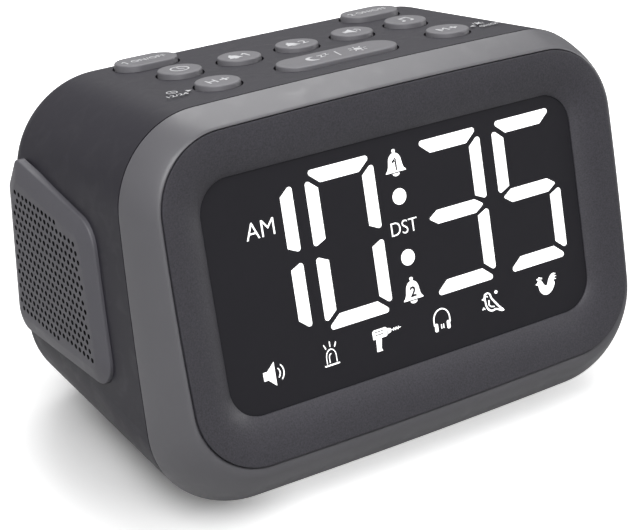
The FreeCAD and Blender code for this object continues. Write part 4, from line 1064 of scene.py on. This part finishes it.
class CLOCK_OT_grilles(Operator):
    """Two raised side grilles with rows of round holes"""
    bl_idname = "clock.grilles"
    bl_label = "Side grilles"

    def lines(self, sizes):
        """Corner points (y, z) of the outline and their radii, from the lower front corner round."""
        lean = math.tan(sizes.lean) * sizes.front_half
        corners = [(sizes.front_y - lean, sizes.mid_z - sizes.front_half),
                   (sizes.back_y, sizes.mid_z - sizes.back_half),
                   (sizes.back_y, sizes.mid_z + sizes.back_half - sizes.cut_down),
                   (sizes.back_y - sizes.cut_forward, sizes.mid_z + sizes.back_half),
                   (sizes.front_y + lean, sizes.mid_z + sizes.front_half)]
        return corners, (sizes.front_round, sizes.back_round, sizes.cut_round, sizes.peak_round,
                         sizes.front_round)

    def depth_inside(self, corners, y, z):
        """Distances of a point from the outline's five sides, inwards."""
        depths = []
        for index, corner in enumerate(corners):
            way = (Vector(corners[(index + 1) % len(corners)]) - Vector(corner)).normalized()
            depths.append(way.x * (z - corner[1]) - way.y * (y - corner[0]))
        return depths

    def hole_places(self, sizes):
        """Centres (y, z) of the holes: staggered rows, kept clear of the border."""
        corners, radii = self.lines(sizes)
        lands = (sizes.land, sizes.back_land, sizes.back_land, sizes.land, sizes.land)
        places = []
        for row in range(sizes.rows):
            z = sizes.first_row_z - row * sizes.row_pitch
            for column in range(-sizes.rows, sizes.rows):
                y = sizes.first_hole_y + (column + 0.5 * (row % 2)) * sizes.column_pitch
                depths = self.depth_inside(corners, y, z)
                spare = [depth - sizes.margin - land for depth, land in zip(depths, lands)]
                if min(spare) < 0:
                    continue
                # Near a corner the holes keep inside its rounding.
                clear = True
                for index, radius in enumerate(radii):
                    inner = max(radius - sizes.margin - sizes.land, sizes.field_round)
                    near = [inner - spare[index - 1], inner - spare[index]]
                    if min(near) > 0 and math.hypot(*near) > inner:
                        clear = False
                if clear:
                    places.append((y, z))
        return places

    def ring(self, sizes, inset):
        """Points of the outline, or of a line that runs inside it, with the same number at every corner."""
        corners, radii = self.lines(sizes)
        points = []
        for index, radius in enumerate(radii):
            corner = Vector(corners[index])
            before = (Vector(corners[index - 1]) - corner).normalized()
            after = (Vector(corners[(index + 1) % len(corners)]) - corner).normalized()
            half = before.angle(after) / 2
            middle = (before + after).normalized()
            corner = corner + middle * (inset / math.sin(half))
            inner = max(radius - inset, sizes.least_round)
            hub = corner + middle * (inner / math.sin(half))
            start = corner + before * (inner / math.tan(half)) - hub
            end = corner + after * (inner / math.tan(half)) - hub
            sweep = start.angle_signed(end)
            for step in range(sizes.corner_steps + 1):
                turn = Matrix.Rotation(-sweep * step / sizes.corner_steps, 2)
                points.append(hub + turn @ start)
        return points

    def cover(self, sizes):
        """The cover without holes, modelled flat: the clock's Y runs along X, its Z along Y."""
        outer, inner = self.ring(sizes, 0.0), self.ring(sizes, sizes.margin)
        rest()
        bpy.ops.mesh.primitive_circle_add(vertices=len(outer), radius=1, fill_type="NGON")
        piece = bpy.context.object
        for vertex, point in zip(piece.data.vertices, outer):
            vertex.co = (point.x, point.y, sizes.seat)
        choose(piece, "FACE", lambda face: True)
        bpy.ops.mesh.extrude_region_move(TRANSFORM_OT_translate={"value": (0, 0, sizes.edge)})
        bpy.ops.mesh.extrude_region_move(
            TRANSFORM_OT_translate={"value": (0, 0, sizes.out - sizes.seat - sizes.edge)})
        rest()
        # The face's outline is drawn inwards, which makes the sloping border.
        for vertex in piece.data.vertices:
            if vertex.co.z > sizes.out - LEVEL:
                nearest = min(range(len(outer)), key=lambda index: (outer[index] - vertex.co.xy).length)
                vertex.co.x, vertex.co.y = inner[nearest]
        face_out(piece)
        return piece

    def soften(self, piece, sizes):
        """Rounds the upper edge of the upright wall and the edge of the face."""
        def level_edge(edge):
            first, second = (piece.data.vertices[index].co.z for index in edge.vertices)
            return min(first, second) > sizes.seat + sizes.edge / 2 and abs(first - second) < LEVEL

        choose(piece, "EDGE", level_edge)
        bpy.ops.mesh.bevel(offset=sizes.soft, segments=3, profile=0.5)

    def strips(self, piece, sizes):
        """Cuts the cover between the rows of holes, so that every face holds one row."""
        for row in range(sizes.rows + 1):
            choose(piece, "FACE", lambda face: True)
            bpy.ops.mesh.bisect(plane_co=(0, sizes.first_row_z + (0.5 - row) * sizes.row_pitch, 0),
                                plane_no=(0, 1, 0))
        rest()

    def drill(self, piece, sizes):
        """Drills the holes right through the cover."""
        cutters = []
        reach = sizes.out - sizes.seat + 1.0
        bpy.ops.mesh.primitive_cylinder_add(vertices=sizes.hole_sides, radius=sizes.hole_radius,
                                            depth=2 * reach)
        bit = bpy.context.object
        for y, z in self.hole_places(sizes):
            cutter = bit.copy()
            cutter.data = bit.data.copy()
            cutter.data.transform(Matrix.Translation((y, z, sizes.out)))
            bpy.context.scene.collection.objects.link(cutter)
            cutters.append(cutter)
        bpy.data.objects.remove(bit)
        tool = join(cutters, "drills")
        cut = piece.modifiers.new("holes", "BOOLEAN")
        cut.object = tool
        cut.solver = "EXACT"
        take(piece)
        bpy.ops.object.modifier_apply(modifier=cut.name)
        bpy.data.objects.remove(tool)

    def darken(self, cover, sizes):
        """Paints the walls of the holes near-black: painted shade for the dark inside, not the grille's own
        colour.
        """
        corners = self.lines(sizes)[0]
        cover.data.materials.append(hole_painted_shade_finish())
        for face in cover.data.polygons:
            centre = face.center / MM
            depth = min(self.depth_inside(corners, centre.y, centre.z))
            is_wall = abs(face.normal.x) < 0.2
            if is_wall and depth > sizes.margin:
                face.material_index = 1

    def execute(self, context):
        sizes = context.scene.grille_sizes
        piece = self.cover(sizes)
        self.soften(piece, sizes)
        self.strips(piece, sizes)
        self.drill(piece, sizes)
        for side, name in ((-1, "left_grille"), (1, "right_grille")):
            cover = twin(piece, name + "_cover")
            columns = Matrix(((0, 0, side, 0), (1, 0, 0, 0), (0, 1, 0, 0), (0, 0, 0, 1)))
            apply_place(cover, Matrix.Scale(MM, 4) @ columns)
            face_out(cover)
            smooth(cover, degrees=35)
            finish(cover, BODY, name, grille_finish(), name)
            self.darken(cover, sizes)
        bpy.data.objects.remove(piece)
        return {"FINISHED"}


class CLOCK_OT_window(Operator):
    """Near-black window with the lit digits of the time"""
    bl_idname = "clock.window"
    bl_label = "Window and digits"

    def execute(self, context):
        coat(frame["nodes"]["display_lens"], window_finish())
        coat(frame["nodes"]["lit_digits"], light_finish())
        return {"FINISHED"}


class CLOCK_OT_signs(Operator):
    """Lit signs in the window: bells, AM, DST and the row of sound signs"""
    bl_idname = "clock.signs"
    bl_label = "Lit signs"

    def lit(self, name, mark, sizes, heavy=0.0):
        """One lit sign on the window."""
        thick = sizes.sign_thick
        height = -sizes.lens_drop
        sign = set_sign([plate(*mark, thick, heavy)], "sign_" + name, front_place(), height, thick)
        finish(sign, BODY, "lit_digits", light_finish())

    def dark(self, name, mark, sizes, heavy):
        """One dark figure on a lit sign."""
        thick = sizes.figure_thick
        height = sizes.sign_thick - sizes.lens_drop
        figure = set_sign([plate(*mark, thick, heavy)], "sign_" + name, front_place(), height, thick)
        finish(figure, BODY, "display_lens", window_finish())

    def execute(self, context):
        sizes = context.scene.clock_sizes
        for name, mark in SOUND_SIGNS.items():
            self.lit(name, mark, sizes)
        for number, mark in BELLS.items():
            self.lit("bell_" + number, mark, sizes)
            self.dark("bell_figure_" + number, BELL_FIGURES[number], sizes, sizes.figure_heavy)
        for name, mark in WINDOW_WORDS.items():
            self.lit(name, mark, sizes, sizes.words_heavy)
        return {"FINISHED"}


class CLOCK_OT_buttons(Operator):
    """Ten push buttons with drafted, softly edged caps, and the signs printed on them"""
    bl_idname = "clock.buttons"
    bl_label = "Buttons"
    sides = 96

    def key(self, half_length, radius, sizes):
        """One button round the origin: drafted cap, neck, retaining flange and stem."""
        top, foot = sizes.rise - LEVEL, sizes.rise - sizes.neck + LEVEL
        flange_foot = foot - sizes.flange - 2 * LEVEL
        face_scale = (radius - sizes.draft) / radius
        flange_scale = (radius + sizes.flange) / radius
        rest()
        bpy.ops.mesh.primitive_cylinder_add(vertices=self.sides, radius=radius, depth=sizes.neck,
                                            location=(0, 0, sizes.rise - sizes.neck / 2),
                                            rotation=(0, 0, math.pi / self.sides))
        key = bpy.context.object
        bpy.ops.object.transform_apply(location=True, rotation=True, scale=True)
        choose(key, "FACE", lambda face: face.center.z > top)
        bpy.ops.transform.resize(value=(face_scale, face_scale, 1), center_override=(0, 0, sizes.rise))
        # The flange and the stem are drawn out of the lower face.
        choose(key, "FACE", lambda face: face.center.z < foot)
        bpy.ops.mesh.extrude_region_move()
        bpy.ops.transform.resize(value=(flange_scale, flange_scale, 1))
        bpy.ops.mesh.extrude_region_move(TRANSFORM_OT_translate={"value": (0, 0, -sizes.flange)})
        bpy.ops.mesh.inset(thickness=radius + sizes.flange - sizes.stem_radius)
        bpy.ops.mesh.extrude_region_move(TRANSFORM_OT_translate={"value": (0, 0, -sizes.stem_length)})
        # A long button is a round one whose halves are drawn apart.
        if half_length:
            for side in (-1, 1):
                choose(key, "VERT", lambda v: v.co.x * side > 0 and v.co.z > flange_foot)
                bpy.ops.transform.translate(value=(side * half_length, 0, 0))
        choose(key, "EDGE", lambda edge: all(key.data.vertices[v].co.z > top for v in edge.vertices))
        bpy.ops.mesh.bevel(offset=sizes.cap_edge, segments=4, profile=0.5)
        choose(key, "FACE", lambda face: face.normal.z > 0.99 and face.center.z > top)
        bpy.ops.mesh.inset(thickness=sizes.face_ring)
        face_out(key)
        return key

    def places(self, sizes):
        """Middles of the buttons on the top."""
        column = sizes.column
        outer = 2 * column + sizes.switch_out
        return {"snooze_dimmer": (0, sizes.row_front), "hour": (-2 * column, sizes.row_front),
                "minute": (2 * column, sizes.row_front), "time_set": (-2 * column, sizes.row_mid),
                "alarm1_set": (-column, sizes.row_mid), "alarm2_set": (0, sizes.row_mid),
                "alarm_volume": (column, sizes.row_mid), "alarm_sound": (2 * column, sizes.row_mid),
                "alarm1_on_off": (-outer, sizes.row_back), "alarm2_on_off": (outer, sizes.row_back)}

    def execute(self, context):
        sizes = context.scene.button_sizes
        thick = context.scene.clock_sizes.print_thick
        round_key = self.key(0, sizes.radius, sizes)
        long_key = self.key(sizes.long_half, sizes.radius, sizes)
        switch_key = self.key(sizes.switch_half, sizes.switch_radius, sizes)
        models = {"snooze_dimmer": long_key, "alarm1_on_off": switch_key, "alarm2_on_off": switch_key}
        for name, (x, y) in self.places(sizes).items():
            place = top_place() @ Matrix.Translation((x, y, 0))
            key = twin(models.get(name, round_key), "key_" + name)
            apply_place(key, place)
            smooth(key, degrees=35)
            finish(key, "button_" + name, "button", button_finish(), "button_" + name)
            marks = [plate(*mark, thick) for mark in BUTTON_MARKS[name]]
            sign = set_sign(marks, "print_" + name, place, sizes.rise, thick)
            finish(sign, "button_" + name, "button", print_finish())
        for model in (round_key, long_key, switch_key):
            bpy.data.objects.remove(model)
        return {"FINISHED"}


class CLOCK_OT_top_prints(Operator):
    """Printed signs on the housing beside the outer buttons"""
    bl_idname = "clock.top_prints"
    bl_label = "Top prints"

    def execute(self, context):
        thick = context.scene.clock_sizes.print_thick
        for name, marks in TOP_MARKS.items():
            sign = set_sign([plate(*mark, thick) for mark in marks], name, top_place(), 0.0, thick)
            finish(sign, BODY, "main_housing", print_finish())
        return {"FINISHED"}


class CLOCK_OT_back_parts(Operator):
    """Battery door, power inlet, charging socket and feet"""
    bl_idname = "clock.back_parts"
    bl_label = "Back and base"

    def execute(self, context):
        rubber = material("soft_rubber", (0.016, 0.016, 0.017), roughness=0.8, grains=2500.0,
                          depth=0.03, speckle=0.1)
        finishes = {"battery_door": body_finish(), "dc_jack": dark_plastic(), "usb_port": plated_steel(),
                    "usb_tongue": dark_plastic(), "rubber_feet": rubber}
        for node, made in finishes.items():
            coat(frame["nodes"][node], made)
        return {"FINISHED"}


class CLOCK_OT_inside(Operator):
    """Finishes of the boards, switches, speaker and cells inside"""
    bl_idname = "clock.inside"
    bl_label = "Inside"

    def execute(self, context):
        board = material("green_board", (0.03, 0.13, 0.06), roughness=0.35, grains=1800.0, depth=0.01,
                         speckle=0.1)
        white = material("white_moulding", (0.72, 0.72, 0.7), roughness=0.5, grains=3000.0, depth=0.008)
        paper = material("pressed_paper", (0.05, 0.05, 0.05), roughness=0.85, grains=1200.0, depth=0.05,
                         speckle=0.2)
        ferrite = material("sintered_ferrite", (0.09, 0.09, 0.095), roughness=0.6, grains=1500.0,
                           depth=0.04)
        sleeve = material("cell_sleeve", (0.12, 0.16, 0.22), roughness=0.35, grains=4000.0, depth=0.004)
        lead = material("red_lead", (0.4, 0.03, 0.03), roughness=0.5, grains=3000.0, depth=0.01)
        ribbon = material("flat_cable", (0.5, 0.5, 0.5), roughness=0.5, grains=3000.0, depth=0.01)
        finishes = {"display_reflector": white, "display_board": board, "display_screws": plated_steel(),
                    "switch_bodies": dark_plastic(), "key_board": board, "key_board_screws": plated_steel(),
                    "speaker_basket": dark_plastic(), "speaker_cone": paper, "speaker_magnet": ferrite,
                    "speaker_screws": plated_steel(), "speaker_leads": lead, "display_ribbon": ribbon,
                    "main_board": board, "main_board_screws": plated_steel(), "board_chips": dark_plastic(),
                    "battery_cells": sleeve, "battery_contacts": plated_steel()}
        for name in BUTTON_MARKS:
            finishes["plunger_" + name] = dark_plastic()
        for node, made in finishes.items():
            coat(frame["nodes"][node], made)
        return {"FINISHED"}


# Beside the clock's left side, where the soft shadow lies, the floor is seen in its own tone. Away from
# there it glows with painted light, lifted towards white in two steps over these distances in metres, of
# which those from front to back count half. So the real cast shadow shows only in that patch, as painted
# shade, and is washed out in front of the clock.
PAINTED_SHADE_MIDDLE = (-0.06, 0.002, 0.0)
PAINTED_SHADE_STRETCH = (1.0, 0.5, 1.0)
NEAR_STEP = (0.006, 0.036)
FAR_STEP = (0.1, 0.19)
SEEN_FLOOR = 0.97

# Area lamps: name, setting that holds the power, place and side in metres. All face one point.
LAMPS = (
    ("high_lamp", "lamp_high", (-0.38, -0.33, 0.75), 0.7),
    ("back_lamp", "lamp_back", (0.30, 0.55, 0.70), 0.55),
    ("front_lamp", "lamp_front", (-0.5, -0.9, 0.25), 0.5),
)
LAMPS_AIM = (0, 0, 0.05)

# Soft panels that the surfaces mirror: direction, half angle in degrees and strength. A strength
# below zero darkens what is mirrored from there.
PANELS = (
    ((-0.42, -0.37, 0.83), 50.0, 0.9),
    ((0.60, -0.05, 0.80), 45.0, 1.0),
    ((0.97, -0.2, 0.12), 26.0, 4.2),
    ((0.50, 0.83, 0.20), 50.0, -0.36),
)


class CLOCK_OT_stage(Operator):
    """Pale floor, soft lamps and the camera"""
    bl_idname = "clock.stage"
    bl_label = "Stage"

    def floor_finish(self, stage):
        """Floor that lights the clock in one grey and is seen in a paler one, with a painted glow that
        spares only a shadow patch at the clock's left.
        """
        made = bpy.data.materials.new("pale_floor")
        made.use_nodes = True
        tree = made.node_tree
        links = tree.links
        shader = tree.nodes["Principled BSDF"]
        shader.inputs["Roughness"].default_value = 0.9
        shader.inputs["Specular IOR Level"].default_value = 0.0
        shader.inputs["Emission Color"].default_value = (1, 1, 1, 1)
        seen = tree.nodes.new("ShaderNodeLightPath").outputs["Is Camera Ray"]
        colour = tree.nodes.new("ShaderNodeMix")
        colour.data_type = "RGBA"
        colour.inputs[6].default_value = (stage.floor_tone, stage.floor_tone, stage.floor_tone, 1)
        colour.inputs[7].default_value = (SEEN_FLOOR, SEEN_FLOOR, SEEN_FLOOR, 1)
        links.new(seen, colour.inputs[0])
        links.new(colour.outputs[2], shader.inputs["Base Color"])
        shape = tree.nodes.new("ShaderNodeVectorMath")
        shape.operation = "MULTIPLY"
        shape.inputs[1].default_value = PAINTED_SHADE_STRETCH
        links.new(tree.nodes.new("ShaderNodeTexCoord").outputs["Object"], shape.inputs[0])
        away = tree.nodes.new("ShaderNodeVectorMath")
        away.operation = "DISTANCE"
        away.inputs[1].default_value = PAINTED_SHADE_MIDDLE
        links.new(shape.outputs[0], away.inputs[0])
        distance = away.outputs["Value"]
        # Painted light: the seen glow is least in the shadow patch and rises away from it, which hides the
        # cast shadow elsewhere.
        near = mapped(tree, distance, *NEAR_STEP, stage.painted_glow_in_shadow, stage.painted_glow_beside_shadow, "SMOOTHSTEP")
        far = mapped(tree, distance, *FAR_STEP, 0.0, 1.0 - stage.painted_glow_beside_shadow)
        lift = combined(tree, "MULTIPLY", combined(tree, "ADD", near, far), seen)
        links.new(lift, shader.inputs["Emission Strength"])
        return made

    def world(self, stage):
        """Even room light, which is white as seen; surfaces also mirror the soft panels."""
        world = bpy.data.worlds.new("room")
        bpy.context.scene.world = world
        world.use_nodes = True
        tree = world.node_tree
        links = tree.links
        background = tree.nodes["Background"]
        background.inputs["Color"].default_value = (1, 1, 1, 1)
        way = tree.nodes.new("ShaderNodeTexCoord").outputs["Generated"]
        mirrored = stage.world_mirrored
        for direction, half_angle, strength in PANELS:
            facing = tree.nodes.new("ShaderNodeVectorMath")
            facing.operation = "DOT_PRODUCT"
            facing.inputs[1].default_value = Vector(direction).normalized()
            links.new(way, facing.inputs[0])
            edge = math.cos(math.radians(half_angle))
            panel = mapped(tree, facing.outputs["Value"], edge, 1.0, 0.0, strength, "SMOOTHSTEP")
            mirrored = combined(tree, "ADD", panel, mirrored)
        path = tree.nodes.new("ShaderNodeLightPath")
        room = tree.nodes.new("ShaderNodeMix")
        room.inputs[2].default_value = stage.world_strength
        links.new(path.outputs["Is Glossy Ray"], room.inputs[0])
        links.new(mirrored, room.inputs[3])
        level = tree.nodes.new("ShaderNodeMix")
        level.inputs[3].default_value = 1.0
        links.new(path.outputs["Is Camera Ray"], level.inputs[0])
        links.new(room.outputs[0], level.inputs[2])
        links.new(level.outputs[0], background.inputs["Strength"])

    def lamp(self, name, place, side, power):
        """One square area lamp."""
        bpy.ops.object.light_add(type="AREA", location=place)
        lamp = bpy.context.object
        lamp.name = name
        lamp.data.energy = power
        lamp.data.shape = "SQUARE"
        lamp.data.size = side
        way = Vector(LAMPS_AIM) - Vector(place)
        lamp.rotation_euler = way.to_track_quat("-Z", "Y").to_euler()

    def camera(self, stage):
        """The camera, level from side to side."""
        bpy.ops.object.camera_add(location=tuple(stage.camera_place),
                                  rotation=(math.radians(90) - stage.elevation, 0, -stage.azimuth))
        camera = bpy.context.object
        camera.data.lens = stage.lens
        camera.data.sensor_width = 36.0
        camera.data.shift_x = stage.shift_x
        camera.data.clip_start = 0.01
        bpy.context.scene.camera = camera

    def execute(self, context):
        stage = context.scene.clock_stage
        rest()
        bpy.ops.mesh.primitive_plane_add(size=6, location=(0, 0, 0))
        floor = bpy.context.object
        floor.name = "floor"
        floor.data.materials.append(self.floor_finish(stage))
        self.world(stage)
        for name, power, place, side in LAMPS:
            self.lamp(name, place, side, getattr(stage, power))
        self.camera(stage)
        context.scene.view_settings.view_transform = "Standard"
        return {"FINISHED"}


PIECES = (CLOCK_OT_housing, CLOCK_OT_bezel, CLOCK_OT_surround, CLOCK_OT_window, CLOCK_OT_signs,
          CLOCK_OT_grilles, CLOCK_OT_buttons, CLOCK_OT_top_prints, CLOCK_OT_back_parts, CLOCK_OT_inside,
          CLOCK_OT_stage)
SETTINGS = (("clock_sizes", ClockSizes), ("bezel_sizes", BezelSizes), ("button_sizes", ButtonSizes),
            ("grille_sizes", GrilleSizes), ("clock_colours", ClockColours), ("clock_stage", StageSettings))


class CLOCK_PT_sidebar(Panel):
    """Steps of the alarm clock and its settings"""
    bl_label = "Alarm clock"
    bl_idname = "CLOCK_PT_sidebar"
    bl_space_type = "VIEW_3D"
    bl_region_type = "UI"
    bl_category = "Clock"

    def draw(self, context):
        for piece in PIECES:
            self.layout.operator(piece.bl_idname)
        for name, group in SETTINGS:
            settings = getattr(context.scene, name)
            for value in group.bl_rna.properties.keys():
                if value not in ("rna_type", "name"):
                    self.layout.prop(settings, value)


def register():
    for name, group in SETTINGS:
        bpy.utils.register_class(group)
        setattr(bpy.types.Scene, name, PointerProperty(type=group))
    for piece in PIECES + (CLOCK_PT_sidebar,):
        bpy.utils.register_class(piece)


def unregister():
    for piece in reversed(PIECES + (CLOCK_PT_sidebar,)):
        bpy.utils.unregister_class(piece)
    for name, group in reversed(SETTINGS):
        delattr(bpy.types.Scene, name)
        bpy.utils.unregister_class(group)


def main():
    register()
    for piece in PIECES:
        step = piece.bl_idname.split(".")[1]
        getattr(bpy.ops.clock, step)()
    rest()


if __name__ == "__main__":
    main()
